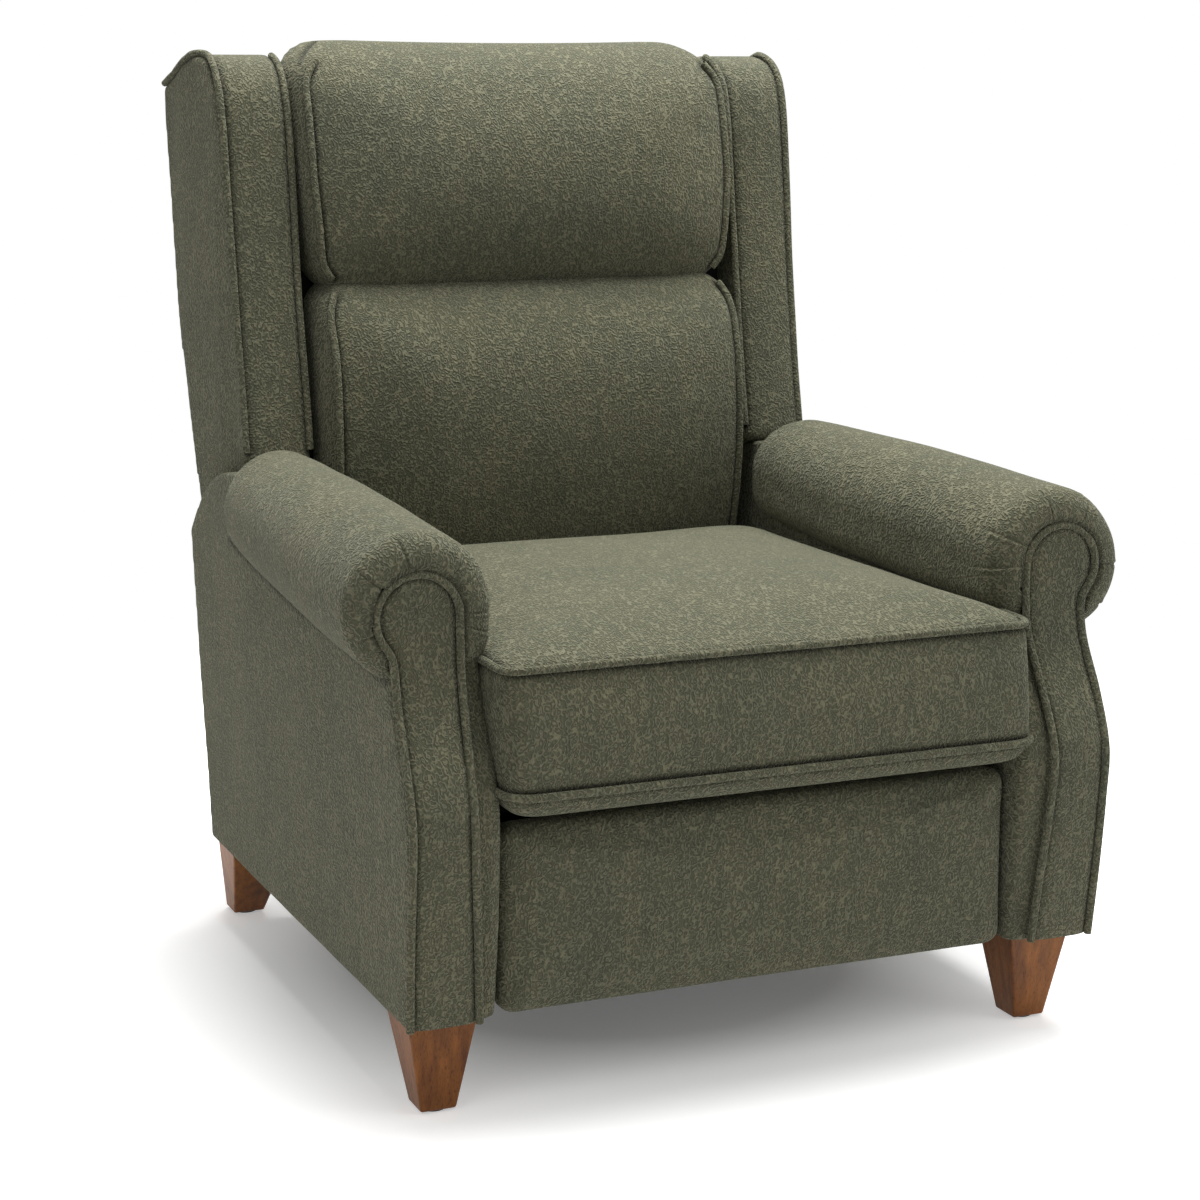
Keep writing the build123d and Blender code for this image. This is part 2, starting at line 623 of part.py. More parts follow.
def back_profile(edge):
    """Side view of the lower back pad, which swells out above the seat."""
    low = (0, frame_front(BACK_CUSHION_LOW_Z) - CLEAR, BACK_CUSHION_LOW_Z)
    high = (0, frame_front(BACK_CUSHION_HIGH_Z) - CLEAR, BACK_CUSHION_HIGH_Z)
    low_front = (0, low[1] - BACK_CUSHION_THIN, BACK_CUSHION_LOW_Z)
    fold = (0, frame_front(BACK_CUSHION_SEAT_Z) - BACK_CUSHION_THICK, BACK_CUSHION_SEAT_Z)
    high_front = (0, high[1] - BACK_CUSHION_THICK, BACK_CUSHION_HIGH_Z)
    middle_z = (BACK_CUSHION_SEAT_Z + BACK_CUSHION_HIGH_Z) / 2
    middle_y = (fold[1] + high_front[1]) / 2 - BACK_CUSHION_BULGE + edge * CUSHION_EDGE
    shape = ThreePointArc(fold, (0, middle_y, middle_z), high_front)
    return shape + Polyline(high_front, high, low, low_front, fold)


nodes["back_cushion"] = cushion(BACK_CUSHION_HALF, back_profile, CUSHION_SIDE_DRAW, front_y, rear_y)


head_top = FRAME_TOP_Z + HEAD_RISE


def head_profile(edge):
    """Side view of the headrest, which folds over the top rail."""
    low = (0, frame_front(HEAD_LOW_Z) - CLEAR, HEAD_LOW_Z)
    corner = (0, frame_front(FRAME_TOP_Z) - CLEAR, FRAME_TOP_Z + CLEAR)
    low_front = (0, low[1] - HEAD_THICK, HEAD_LOW_Z)
    shoulder = (0, corner[1] - HEAD_THICK, head_top - HEAD_SHOULDER - edge * HEAD_SIDE_DROP)
    rear = (0, corner[1] + HEAD_OVERLAP, FRAME_TOP_Z + CLEAR)
    rear_top = (0, rear[1], FRAME_TOP_Z + HEAD_REAR_LIP)
    bulge = HEAD_BULGE - edge * CUSHION_EDGE
    middle = (0, (low_front[1] + shoulder[1]) / 2 - bulge, (HEAD_LOW_Z + shoulder[2]) / 2)
    crest = (0, (shoulder[1] + rear[1]) / 2, head_top - edge * HEAD_SIDE_DROP)
    shape = ThreePointArc(low_front, middle, shoulder) + ThreePointArc(shoulder, crest, rear_top)
    return shape + Polyline(rear_top, rear, corner, low, low_front)


nodes["headrest_cushion"] = cushion(HEAD_HALF, head_profile, CUSHION_SIDE_DRAW, front_y, rear_y)

back_line = [
    (rear_y - WING_LOW_SETBACK - (WING_LOW_Z - OUTER_BACK_LOW_Z) * rear_slope, OUTER_BACK_LOW_Z),
    (rear_y - WING_LOW_SETBACK, WING_LOW_Z),
    (rear_y - WING_WAIST_SETBACK, WING_WAIST_Z),
    (rear_y, WING_REAR_TOP_Z),
]
cover_front = frame_front(FRAME_TOP_Z) + HEAD_OVERLAP + CLEAR
cover_top = FRAME_TOP_Z + HEAD_REAR_LIP
cover_inset = OUTER_BACK_SETBACK + OUTER_BACK_THICK
cover = [(y - OUTER_BACK_SETBACK, z) for y, z in back_line]
cover += [(cover_front, cover_top), (cover_front, cover_top - OUTER_BACK_THICK)]
cover += [(rear_y - cover_inset, WING_REAR_TOP_Z - OUTER_BACK_THICK)]
cover += [(y - cover_inset, z) for y, z in reversed(back_line[:-1])]
nodes["outside_back"] = side_plate(outline(*cover), -WING_INNER + CLEAR, WING_INNER - CLEAR)

# Footrest linkage: drive, control, extension and tilt links on each side, all parallelograms
foot_front = front_y + FOOT_SETBACK


def ahead(point, length, angle):
    """A side-view point moved by a length at an angle, measured from straight ahead."""
    turn = math.radians(angle)
    return point[0] - length * math.cos(turn), point[1] + length * math.sin(turn)


drive_pivot = (drive_y, DRIVE_Z)
control_pivot = (control_y, control_z)
knee = ahead(drive_pivot, LINK_LENGTH, LINK_REST_ANGLE)
tail = (knee[0] + CONTROL_BACK, knee[1] - CONTROL_DOWN)
toe = (foot_front + TOE_PIVOT_BACK, TOE_PIVOT_Z)
crank = ahead(knee, -TILT_CRANK, LINK_REST_ANGLE)
tilt_end = ahead(toe, -TILT_CRANK, LINK_REST_ANGLE)


def strap(start, end, planes):
    """A flat bar between two side-view points, with round ends."""
    across = math.atan2(end[1] - start[1], end[0] - start[0]) + math.pi / 2
    dy = LINK_HALF_WIDTH * math.cos(across)
    dz = LINK_HALF_WIDTH * math.sin(across)
    corners = [(p[0] + s * dy, p[1] + s * dz) for p, s in ((start, 1), (end, 1), (end, -1), (start, -1))]
    solid = side_plate(outline(*corners), *planes)
    for point in (start, end):
        solid += x_cylinder(EYE_R, *point, *planes)
    return solid


def drilled(solid, point, radius, planes):
    return solid - x_cylinder(radius, *point, *planes)


def pin(point, first_lane, last_lane):
    return x_cylinder(PIN_R, *point, lane(last_lane)[0], lane(first_lane)[1])


bore = PIN_R + RUN
loose_bore = PIN_R + OPEN_PIVOT_PLAY
nodes["drive_tube"] = turning_tube(DRIVE_TUBE_R, *drive_pivot)
drive_planes = lane(DRIVE_LANE)
drive_link = strap(drive_pivot, knee, drive_planes) + x_cylinder(TUBE_EYE_R, *drive_pivot, *drive_planes)
drive_link = drilled(drive_link, drive_pivot, DRIVE_TUBE_R + RUN, drive_planes)
for point in (knee, crank):
    drive_link = drilled(drive_link, point, bore, drive_planes)
nodes["drive_links"] = with_mirror([drive_link.solid()])
nodes["knee_pins"] = with_mirror(
    [pin(knee, DRIVE_LANE, EXTENSION_LANE), pin(crank, DRIVE_LANE, TILT_LANE)]
)

extension_planes = lane(EXTENSION_LANE)
extension_link = strap(tail, knee, extension_planes) + strap(knee, toe, extension_planes)
for point in (tail, knee, toe):
    extension_link = drilled(extension_link, point, bore, extension_planes)
nodes["extension_links"] = with_mirror([extension_link.solid()])
nodes["extension_pins"] = with_mirror(
    [pin(tail, EXTENSION_LANE, CONTROL_LANE), pin(toe, DRIVE_LANE, EXTENSION_LANE)]
)

control_planes = lane(CONTROL_LANE)
control_link = drilled(strap(control_pivot, tail, control_planes), control_pivot, bore, control_planes)
control_link = drilled(control_link, tail, loose_bore, control_planes)
nodes["control_links"] = with_mirror([control_link.solid()])

tilt_planes = lane(TILT_LANE)
tilt_link = drilled(strap(crank, tilt_end, tilt_planes), crank, bore, tilt_planes)
tilt_link = drilled(tilt_link, tilt_end, loose_bore, tilt_planes)
nodes["tilt_links"] = with_mirror([tilt_link.solid()])

board_front = foot_front + FOOT_PAD_THICK
board_back = board_front + FOOT_BOARD_THICK
toe_lane = drive_planes
foot_bracket = side_plate(
    outline((board_back, FLANGE_LOW_Z), (board_back, FLANGE_HIGH_Z), tilt_end, toe), *toe_lane
)
foot_bracket += block(
    (toe_lane[1] - FLANGE_WIDTH, board_back, FLANGE_LOW_Z),
    (toe_lane[1], board_back + FLANGE_THICK, FLANGE_HIGH_Z),
)
for point in (toe, tilt_end):
    foot_bracket += x_cylinder(EYE_R, *point, *toe_lane) & block(
        (0, board_back, 0), (FAR, rear_y, FAR)
    )
    foot_bracket = drilled(foot_bracket, point, bore, toe_lane)
add_pair("footrest_bracket", foot_bracket)
nodes["bracket_pins"] = with_mirror([pin(tilt_end, DRIVE_LANE, TILT_LANE)])

board_half = FOOT_HALF - FOOT_BOARD_INSET
nodes["footrest_board"] = block(
    (-board_half, board_front, FOOT_LOW_Z + FOOT_BOARD_INSET),
    (board_half, board_back, FOOT_HIGH_Z - FOOT_BOARD_INSET),
)


def foot_profile(edge):
    """Side view of the footrest pad, crowned at the front."""
    face = foot_front + edge * FOOT_CROWN / 2
    low_front = (0, face + FOOT_CROWN, FOOT_LOW_Z)
    high_front = (0, face + FOOT_CROWN, FOOT_HIGH_Z)
    shape = ThreePointArc(low_front, (0, face, (FOOT_LOW_Z + FOOT_HIGH_Z) / 2), high_front)
    high = (0, board_front, FOOT_HIGH_Z)
    low = (0, board_front, FOOT_LOW_Z)
    return shape + Polyline(high_front, high, low, low_front)


foot_pad = cushion(FOOT_HALF, foot_profile, CLEAR, front_y, rear_y)
foot_plane = Plane((0, -FAR, (FOOT_LOW_Z + FOOT_HIGH_Z) / 2), x_dir=(1, 0, 0), z_dir=(0, 1, 0))
foot_outline = foot_plane * RectangleRounded(2 * FOOT_HALF, FOOT_HIGH_Z - FOOT_LOW_Z, FOOT_CORNER_R)
nodes["footrest_pad"] = foot_pad & extrude(foot_outline, 2 * FAR, dir=(0, 1, 0))

# Footrest drive: a gear motor on the drive tube, held by an arm to the front cross tube
gear_half = GEARBOX_WIDTH / 2
gearbox = block(
    (-gear_half, drive_y - GEARBOX_DEPTH / 2, GEARBOX_LOW_Z),
    (gear_half, drive_y + GEARBOX_DEPTH / 2, GEARBOX_HIGH_Z),
)
gearbox -= x_cylinder(DRIVE_TUBE_R + RUN, *drive_pivot, -gear_half, gear_half)
nodes["footrest_gearbox"] = gearbox
nodes["footrest_motor"] = x_cylinder(
    MOTOR_R, drive_y, GEARBOX_LOW_Z + MOTOR_R, gear_half, gear_half + MOTOR_LENGTH
)
tube_face = front_tube_y - CROSS_TUBE / 2
tube_top = CROSS_TUBE_Z + CROSS_TUBE / 2
arm_back = drive_y + GEARBOX_DEPTH / 2
nodes["gearbox_arm"] = side_plate(
    outline(
        (drive_y - GEARBOX_DEPTH / 4, GEARBOX_LOW_Z),
        (drive_y - GEARBOX_DEPTH / 4, GEARBOX_LOW_Z + TORQUE_ARM_GRIP),
        (arm_back, GEARBOX_LOW_Z + TORQUE_ARM_GRIP),
        (tube_face, tube_top),
        (tube_face, tube_top - CROSS_TUBE),
        (arm_back, GEARBOX_LOW_Z),
    ),
    -gear_half - TORQUE_ARM_THICK,
    -gear_half,
)

# Back drive: a motor and rail on the cross tubes, a slider, and a slotted lever on the pivot tube
head_half = ACTUATOR_HEAD / 2
rail_front = front_tube_y + head_half
rail_top = tube_top + RAIL_HEIGHT
nodes["back_drive_rail"] = block(
    (-RAIL_WIDTH / 2, rail_front, tube_top), (RAIL_WIDTH / 2, rear_tube_y, rail_top)
)
actuator = block(
    (-head_half, front_tube_y - head_half, tube_top), (head_half, rail_front, tube_top + ACTUATOR_HEAD)
)
nodes["back_drive_gearbox"] = actuator
nodes["back_drive_motor"] = x_cylinder(
    MOTOR_R, front_tube_y, tube_top + MOTOR_R + MOTOR_GAP, head_half, head_half + MOTOR_LENGTH
)
half_recline = math.radians(RECLINE / 2)
pin_y = pivot_y + LEVER_REACH * math.tan(half_recline)
pin_z = PIVOT_Z - LEVER_REACH
slot_half = PIN_R + SLOT_PLAY
slot_low = LEVER_REACH / math.cos(half_recline)
lever_end = slot_low + slot_half + LEVER_WALL
lever_half_thick = LEVER_THICK / 2
lever_planes = (-lever_half_thick, lever_half_thick)
lever = block(
    (-lever_half_thick, pivot_y - LEVER_HALF_WIDTH, PIVOT_Z - lever_end),
    (lever_half_thick, pivot_y + LEVER_HALF_WIDTH, PIVOT_Z),
)
lever += x_cylinder(LEVER_HUB_R, pivot_y, PIVOT_Z, *lever_planes)
lever -= x_cylinder(BACK_TUBE_R + RUN, pivot_y, PIVOT_Z, *lever_planes)
lever -= block(
    (-lever_half_thick, pivot_y - slot_half, PIVOT_Z - slot_low),
    (lever_half_thick, pivot_y + slot_half, pin_z),
)
for reach in (slot_low, LEVER_REACH):
    lever -= x_cylinder(slot_half, pivot_y, PIVOT_Z - reach, *lever_planes)
nodes["back_lever"] = lever.rotate(Axis((0, pivot_y, PIVOT_Z), (1, 0, 0)), RECLINE / 2)

slider_low = rail_top + CLEAR
cheek_in = lever_half_thick + CHEEK_GAP
slider = block(
    (-RAIL_WIDTH / 2, pin_y - SLIDER_LENGTH / 2, slider_low),
    (RAIL_WIDTH / 2, pin_y + SLIDER_LENGTH / 2, slider_low + SLIDER_BASE),
)
for cheek_x in (-cheek_in - CHEEK, cheek_in):
    slider += block(
        (cheek_x, pin_y - LEVER_HALF_WIDTH, slider_low), (cheek_x + CHEEK, pin_y + LEVER_HALF_WIDTH, pin_z)
    )
    slider += x_cylinder(LEVER_HALF_WIDTH, pin_y, pin_z, cheek_x, cheek_x + CHEEK)
slider += x_cylinder(PIN_R, pin_y, pin_z, -cheek_in, cheek_in)
nodes["back_slider"] = slider

nodes["power_supply"] = block(
    (SUPPLY_X, rear_tube_y - SUPPLY_DEPTH / 2, tube_top),
    (SUPPLY_X + SUPPLY_LENGTH, rear_tube_y + SUPPLY_DEPTH / 2, tube_top + SUPPLY_HEIGHT),
)

# Switch: a bezel let into the left roll, with four buttons that press into it
switch_r = ROLL_FRONT_R + (ROLL_REAR_R - ROLL_FRONT_R) * SWITCH_ALONG / ROLL_LENGTH
switch_y = roll_front + SWITCH_ALONG
switch_z = ROLL_FRONT_Z + SWITCH_ALONG * roll_rise
switch_face = SWITCH_PROUD + switch_r - roll_x
switch_back = switch_face - SWITCH_PROUD - SWITCH_BODY
switch = block(
    (switch_back, switch_y - SWITCH_LENGTH / 2, switch_z - SWITCH_HEIGHT / 2),
    (switch_face, switch_y + SWITCH_LENGTH / 2, switch_z + SWITCH_HEIGHT / 2),
)
nodes["left_arm_pad"] = mirror(arm_pad, about=Plane.YZ) - switch
button_names = ["footrest_out", "footrest_in", "back_recline", "back_raise"]
for place, name in enumerate(button_names[:BUTTON_COUNT]):
    centre = switch_y + (place - (BUTTON_COUNT - 1) / 2) * BUTTON_PITCH
    button_face = switch_face + BUTTON_PROUD
    low = (button_face - BUTTON_DEPTH, centre - BUTTON_LENGTH / 2, switch_z - BUTTON_HEIGHT / 2)
    high = (button_face, centre + BUTTON_LENGTH / 2, switch_z + BUTTON_HEIGHT / 2)
    nodes[name + "_button"] = block(low, high)
    switch -= block(
        (low[0] - BUTTON_TRAVEL - CLEAR, low[1] - BUTTON_CLEAR, low[2] - BUTTON_CLEAR),
        (switch_face, high[1] + BUTTON_CLEAR, high[2] + BUTTON_CLEAR),
    )
nodes["switch_bezel"] = switch

os.makedirs("parts", exist_ok=True)
for name, shape in nodes.items():
    export_step(shape, f"parts/{name}.step")
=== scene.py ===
import math

import bpy
import numpy as np
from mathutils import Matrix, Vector, noise
from mathutils.bvhtree import BVHTree


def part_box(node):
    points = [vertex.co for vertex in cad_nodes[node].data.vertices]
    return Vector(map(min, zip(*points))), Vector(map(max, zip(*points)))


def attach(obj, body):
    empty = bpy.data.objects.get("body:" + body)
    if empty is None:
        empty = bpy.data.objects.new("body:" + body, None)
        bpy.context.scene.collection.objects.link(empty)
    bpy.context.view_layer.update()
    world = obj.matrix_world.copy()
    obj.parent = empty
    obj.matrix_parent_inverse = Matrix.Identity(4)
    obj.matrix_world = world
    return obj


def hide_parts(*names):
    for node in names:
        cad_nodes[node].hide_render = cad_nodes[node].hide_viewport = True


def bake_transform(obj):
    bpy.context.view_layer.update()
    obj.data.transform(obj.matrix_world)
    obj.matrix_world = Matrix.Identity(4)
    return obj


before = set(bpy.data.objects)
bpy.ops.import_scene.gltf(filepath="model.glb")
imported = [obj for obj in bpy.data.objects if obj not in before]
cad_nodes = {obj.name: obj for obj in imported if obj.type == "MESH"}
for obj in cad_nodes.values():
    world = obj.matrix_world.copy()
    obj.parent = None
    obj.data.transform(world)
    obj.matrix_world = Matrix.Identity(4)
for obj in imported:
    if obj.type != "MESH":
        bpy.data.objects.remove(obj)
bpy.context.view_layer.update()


# The mechanism: pressed steel plates, links and brackets in black paint, with zinc-plated pins,
# tubes and springs, and black moulded gearboxes. The finishes are worked out here, node by node.
class Shade:
    """One shader socket; arithmetic on it adds Math nodes to its tree."""

    def __init__(self, nodes, socket):
        self.nodes = nodes
        self.socket = socket

    def _math(self, operation, *values):
        return self.nodes.add("ShaderNodeMath", {"operation": operation}, dict(enumerate(values)))

    def __add__(self, other):
        return self._math("ADD", self, other)

    def __sub__(self, other):
        return self._math("SUBTRACT", self, other)

    def __rsub__(self, other):
        return self._math("SUBTRACT", other, self)

    def __mul__(self, other):
        return self._math("MULTIPLY", self, other)

    def __pow__(self, other):
        return self._math("POWER", self, other)

    __radd__ = __add__
    __rmul__ = __mul__

    def clamped(self, low, high):
        """The value stretched so that low becomes 0 and high becomes 1."""
        return self.nodes.add("ShaderNodeMapRange", {"clamp": True}, {0: self, 1: low, 2: high, 3: 0.0, 4: 1.0})


class Nodes:
    """A shader tree, built by adding nodes."""

    def __init__(self, tree):
        self.tree = tree

    def add(self, kind, settings, inputs, output=0):
        node = self.tree.nodes.new(kind)
        for key, value in settings.items():
            setattr(node, key, value)
        for key, value in inputs.items():
            self.join(value, node.inputs[key])
        return Shade(self, node.outputs[output])

    def join(self, value, socket):
        if isinstance(value, Shade):
            self.tree.links.new(value.socket, socket)
        else:
            socket.default_value = value


class Finish(Nodes):
    """A material with its Principled shader."""

    def __init__(self, name, constants):
        self.material = bpy.data.materials.new(name)
        self.material.use_nodes = True
        super().__init__(self.material.node_tree)
        self.shader = self.tree.nodes["Principled BSDF"]
        for socket, value in constants.items():
            self.shader.inputs[socket].default_value = value

    def place(self, stretch=(1, 1, 1)):
        """Where a point lies on the object, stretched along the axes."""
        spot = self.add("ShaderNodeTexCoord", {}, {}, "Object")
        return self.add("ShaderNodeMapping", {}, {"Vector": spot, "Scale": stretch})

    def cloud(self, vector, scale, detail=2.0):
        return self.add("ShaderNodeTexNoise", {}, {"Vector": vector, "Scale": scale, "Detail": detail})

    def tint(self, share, low, high):
        mix = {"Factor": share, 6: (*low, 1), 7: (*high, 1)}
        return self.add("ShaderNodeMix", {"data_type": "RGBA"}, mix, 2)

    def layer(self, under, over):
        """One colour multiplied by another."""
        settings = {"data_type": "RGBA", "blend_type": "MULTIPLY"}
        return self.add("ShaderNodeMix", settings, {"Factor": 1.0, 6: under, 7: over}, 2)

    def wear(self, colour, roughness, height=None, depth=0.0005):
        self.join(colour, self.shader.inputs["Base Color"])
        self.join(roughness, self.shader.inputs["Roughness"])
        if height is not None:
            bump = self.add("ShaderNodeBump", {}, {"Strength": 1.0, "Distance": depth, "Height": height})
            self.join(bump, self.shader.inputs["Normal"])


black_paint = Finish("black_paint", {"Specular IOR Level": 0.5})
orange_peel = black_paint.cloud(black_paint.place(), 420.0)
dust = black_paint.cloud(black_paint.place(), 14.0, 5.0)
black_paint.wear(
    black_paint.tint(dust.clamped(0.45, 0.8), (0.016, 0.016, 0.017), (0.05, 0.048, 0.045)),
    0.36 + 0.3 * dust, orange_peel, 0.0002,
)
zinc = Finish("zinc_plate", {"Metallic": 1.0})
drawn = zinc.cloud(zinc.place((40, 900, 900)), 1.0, 3.0)
stain = zinc.cloud(zinc.place(), 30.0, 4.0)
zinc.wear(zinc.tint(stain, (0.42, 0.42, 0.43), (0.66, 0.65, 0.62)), 0.24 + 0.24 * drawn, drawn, 0.0001)
housing = Finish("housing_plastic", {"Specular IOR Level": 0.4})
spark = housing.cloud(housing.place(), 900.0, 1.0)
housing.wear(
    housing.tint(housing.cloud(housing.place(), 20.0), (0.018, 0.018, 0.019), (0.032, 0.032, 0.034)),
    0.5 + 0.2 * spark, spark, 0.0002,
)


def paint(finish, *names):
    for name in names:
        cad_nodes[name].data.materials.clear()
        cad_nodes[name].data.materials.append(finish.material)


paint(black_paint, "left_side_plate", "right_side_plate", "cross_tubes", "left_back_bracket", "right_back_bracket",
      "drive_links", "control_links", "extension_links", "tilt_links", "left_footrest_bracket",
      "right_footrest_bracket", "gearbox_arm", "back_drive_rail", "back_lever", "footrest_motor", "back_drive_motor")
paint(zinc, "leg_bolts", "seat_springs", "back_pivot_tube", "drive_tube", "knee_pins", "extension_pins",
      "bracket_pins", "back_slider")
paint(housing, "leg_glides", "power_inlet", "footrest_gearbox", "back_drive_gearbox", "power_supply")


# The wooden frame: plywood boards inside the arms and across the rear.
# It is bare, so it shows layers at its edges and a faint grain on its faces.
plywood = Finish("bare_plywood", {"Specular IOR Level": 0.3})
ply_grain = plywood.cloud(plywood.place((18, 18, 240)), 1.0, 4.0)
ply_layer = plywood.cloud(plywood.place((420, 12, 12)), 1.0, 1.0)
plywood.wear(
    plywood.tint(0.6 * ply_grain + 0.4 * ply_layer, (0.32, 0.2, 0.1), (0.62, 0.45, 0.27)),
    0.6 + 0.2 * ply_grain, ply_grain, 0.0004,
)
paint(plywood, "left_arm_frame", "right_arm_frame", "rear_rail")


# The shade sheet: black non-woven cloth stretched under the motor bay, clipped to the cross tubes; a near-black
# sheet put there as painted shade, so the gap below the seat stays dark.
# The rails of the seat and the back are wrapped in the same cloth, so no wood shows between the cushions: painted
# shade in those gaps.
def new_piece(name, points, faces, finish):
    mesh = bpy.data.meshes.new(name)
    mesh.from_pydata([tuple(p) for p in points], [], faces)
    mesh.materials.append(finish.material)
    piece = bpy.data.objects.new(name, mesh)
    bpy.context.scene.collection.objects.link(piece)
    return piece


def worked(piece):
    """Works the piece's modifiers into its mesh."""
    graph = bpy.context.evaluated_depsgraph_get()
    mesh = bpy.data.meshes.new_from_object(piece.evaluated_get(graph))
    piece.modifiers.clear()
    piece.data = mesh
    return piece


def smooth_faces(piece):
    piece.data.shade_smooth()
    return piece


def two_faced(rows, behind):
    """Points and faces of a thin piece out of two grids, back to back."""
    wide, count = len(rows[0]), len(rows) * len(rows[0])
    points = [p for row in rows + behind for p in row]
    faces = []
    for k in range(len(rows) - 1):
        for i in range(wide - 1):
            a = k * wide + i
            faces.append((a, a + 1, a + wide + 1, a + wide))
            faces.append((count + a + wide, count + a + wide + 1, count + a + 1, count + a))
    rim = list(range(wide - 1)) + list(range(wide - 1, count - 1, wide))
    rim += list(range(count - 1, count - wide, -1)) + list(range(count - wide, 0, -wide))
    faces += [(b, a, a + count, b + count) for a, b in zip(rim, rim[1:] + rim[:1])]
    return points, faces


def thin_cloth(name, rows, through, finish):
    """A sheet with two faces, the second one moved through the cloth."""
    behind = [[tuple(np.add(p, through)) for p in row] for row in rows]
    return smooth_faces(new_piece(name, *two_faced(rows, behind), finish))


cambric = Finish("black_cambric", {"Specular IOR Level": 0.1})
weave = cambric.cloud(cambric.place(), 700.0, 1.0)
cambric.wear(
    cambric.tint(weave, (0.006, 0.006, 0.006), (0.016, 0.016, 0.017)),
    0.85 + 0.1 * weave, weave, 0.0003,
)
paint(cambric, "seat_side_rails", "seat_cross_rails", "back_uprights", "back_rails")
bay_half, bay_front, bay_rear = 0.279, -0.105, 0.278
tube_bottom, deepest_sag = 0.1396, 0.004
sag_rows = []
for y in np.linspace(bay_front, bay_rear, 25):
    sag = deepest_sag * math.sin(math.pi * (y - bay_front) / (bay_rear - bay_front))
    sag_rows.append([(x, y, tube_bottom - sag * (1 - (x / bay_half) ** 2))
                     for x in np.linspace(-bay_half, bay_half, 37)])
dust_cover = thin_cloth("dust_cover", sag_rows, (0, 0, -0.0008), cambric)
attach(dust_cover, "base")


# The legs: tapered blocks of solid wood with eased edges, stained red-brown and lacquered.
# The rear pair is raked. The grain runs up the leg.
def shell(rings):
    """Points and faces of a closed skin through rings of equally many points."""
    count = len(rings[0])
    points = [tuple(p) for ring in rings for p in ring]
    faces = []
    for k in range(len(rings) - 1):
        for i in range(count):
            j = (i + 1) % count
            faces.append((k * count + i, k * count + j, (k + 1) * count + j, (k + 1) * count + i))
    faces.append(tuple(reversed(range(count))))
    faces.append(tuple(range((len(rings) - 1) * count, len(rings) * count)))
    return points, faces


stain_wood = Finish("stained_leg_wood", {"Specular IOR Level": 0.25, "Coat Weight": 0.04, "Coat Roughness": 0.3})
swirl = stain_wood.cloud(stain_wood.place((22, 22, 5)), 1.0, 2.0)
growth = stain_wood.cloud(stain_wood.place((130, 130, 7)), 1.0, 3.0)
pores = stain_wood.cloud(stain_wood.place((900, 900, 45)), 1.0, 2.0)
figure = 0.45 * swirl + 0.55 * growth
stain_wood.wear(
    stain_wood.tint((figure - 0.25 * pores.clamped(0.55, 0.75)).clamped(0.28, 0.66),
                    (0.085, 0.0245, 0.005), (0.3, 0.109, 0.023)),
    0.38 + 0.2 * pores, pores, 0.0002,
)
leg_x, foot_half, top_half, rear_rake = 0.363, 0.020, 0.039, 0.057
for leg in ("left_front_leg", "right_front_leg", "left_rear_leg", "right_rear_leg"):
    low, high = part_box(leg)
    x = leg_x if high.x > 0 else -leg_x
    rake = rear_rake if "rear" in leg else 0.0
    blocks = []
    for height in np.linspace(0, 1, 9):
        half = foot_half + (top_half - foot_half) * height
        y = low.y + top_half + rake * (1 - height)
        z = low.z + (high.z - low.z) * height
        blocks.append([(x + u * half, y + v * half, z) for u, v in ((-1, -1), (1, -1), (1, 1), (-1, 1))])
    piece = new_piece(leg + "_wood", *shell(blocks), stain_wood)
    ease = piece.modifiers.new("Eased edges", "BEVEL")
    ease.width = 0.0026
    ease.segments = 3
    ease.angle_limit = math.radians(40)
    worked(piece)
    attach(piece, "base")
    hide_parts(leg)


# The arms: a stuffed panel on each side with a roll on top that overhangs the outside.
# One cover of sage chenille with a short, squiggly nap is pulled over the roll and down both faces.
chenille = Finish("sage_chenille", {
    "Specular IOR Level": 0.18, "Sheen Weight": 0.24, "Sheen Roughness": 0.4, "Sheen Tint": (0.9, 0.9, 0.72, 1),
})
contour = chenille.cloud(chenille.place((1, 0.6, 0.8)), 160.0, 1.0)
waves = chenille.add("ShaderNodeMath", {"operation": "SINE"}, {0: contour * (2 * math.pi * 4.5)})
strokes = (0.5 + 0.5 * waves) ** 1.5
fuzz = chenille.cloud(chenille.place((1, 0.42, 0.5)), 800.0, 1.0)
slub = chenille.cloud(chenille.place((480, 200, 24)), 1.0, 2.0)
streak = chenille.cloud(chenille.place((80, 80, 6)), 1.0, 2.0)
patch = chenille.cloud(chenille.place(), 7.0, 3.0)
blotch = chenille.cloud(chenille.place(), 40.0, 2.0)
nap = 0.7 * strokes + 0.15 * fuzz + 0.15 * slub
# The colour is lighter on the nap's squiggly strokes and darker between them: painted highlight and shade of the
# pile's ridges, with the random tone of the fuzz and slub.
nap_light_and_tone = (0.4 * strokes + 0.33 * fuzz + 0.27 * slub).clamped(0.18, 0.76)
mottle = (0.4 * patch + 0.3 * blotch + 0.3 * streak).clamped(0.36, 0.64)
fibre = chenille.tint(nap_light_and_tone, (0.055, 0.0575, 0.0365), (0.176, 0.17, 0.112))
# Where the seams mark it, the colour drops to a fifth: painted shade in the seams, creases and folds. The mottle is
# random tone.
crushed = chenille.add("ShaderNodeAttribute", {"attribute_name": "crushed"}, {}, "Fac")
mottle_and_seam_shade = chenille.tint(crushed, (1, 1, 1), (0.2, 0.2, 0.2))
mottle_and_seam_shade = chenille.layer(chenille.tint(mottle, (0.82, 0.86, 0.88), (1.12, 1.1, 1.06)), mottle_and_seam_shade)
chenille.wear(chenille.layer(fibre, mottle_and_seam_shade), 0.84 + 0.14 * fuzz, nap, 0.0022)


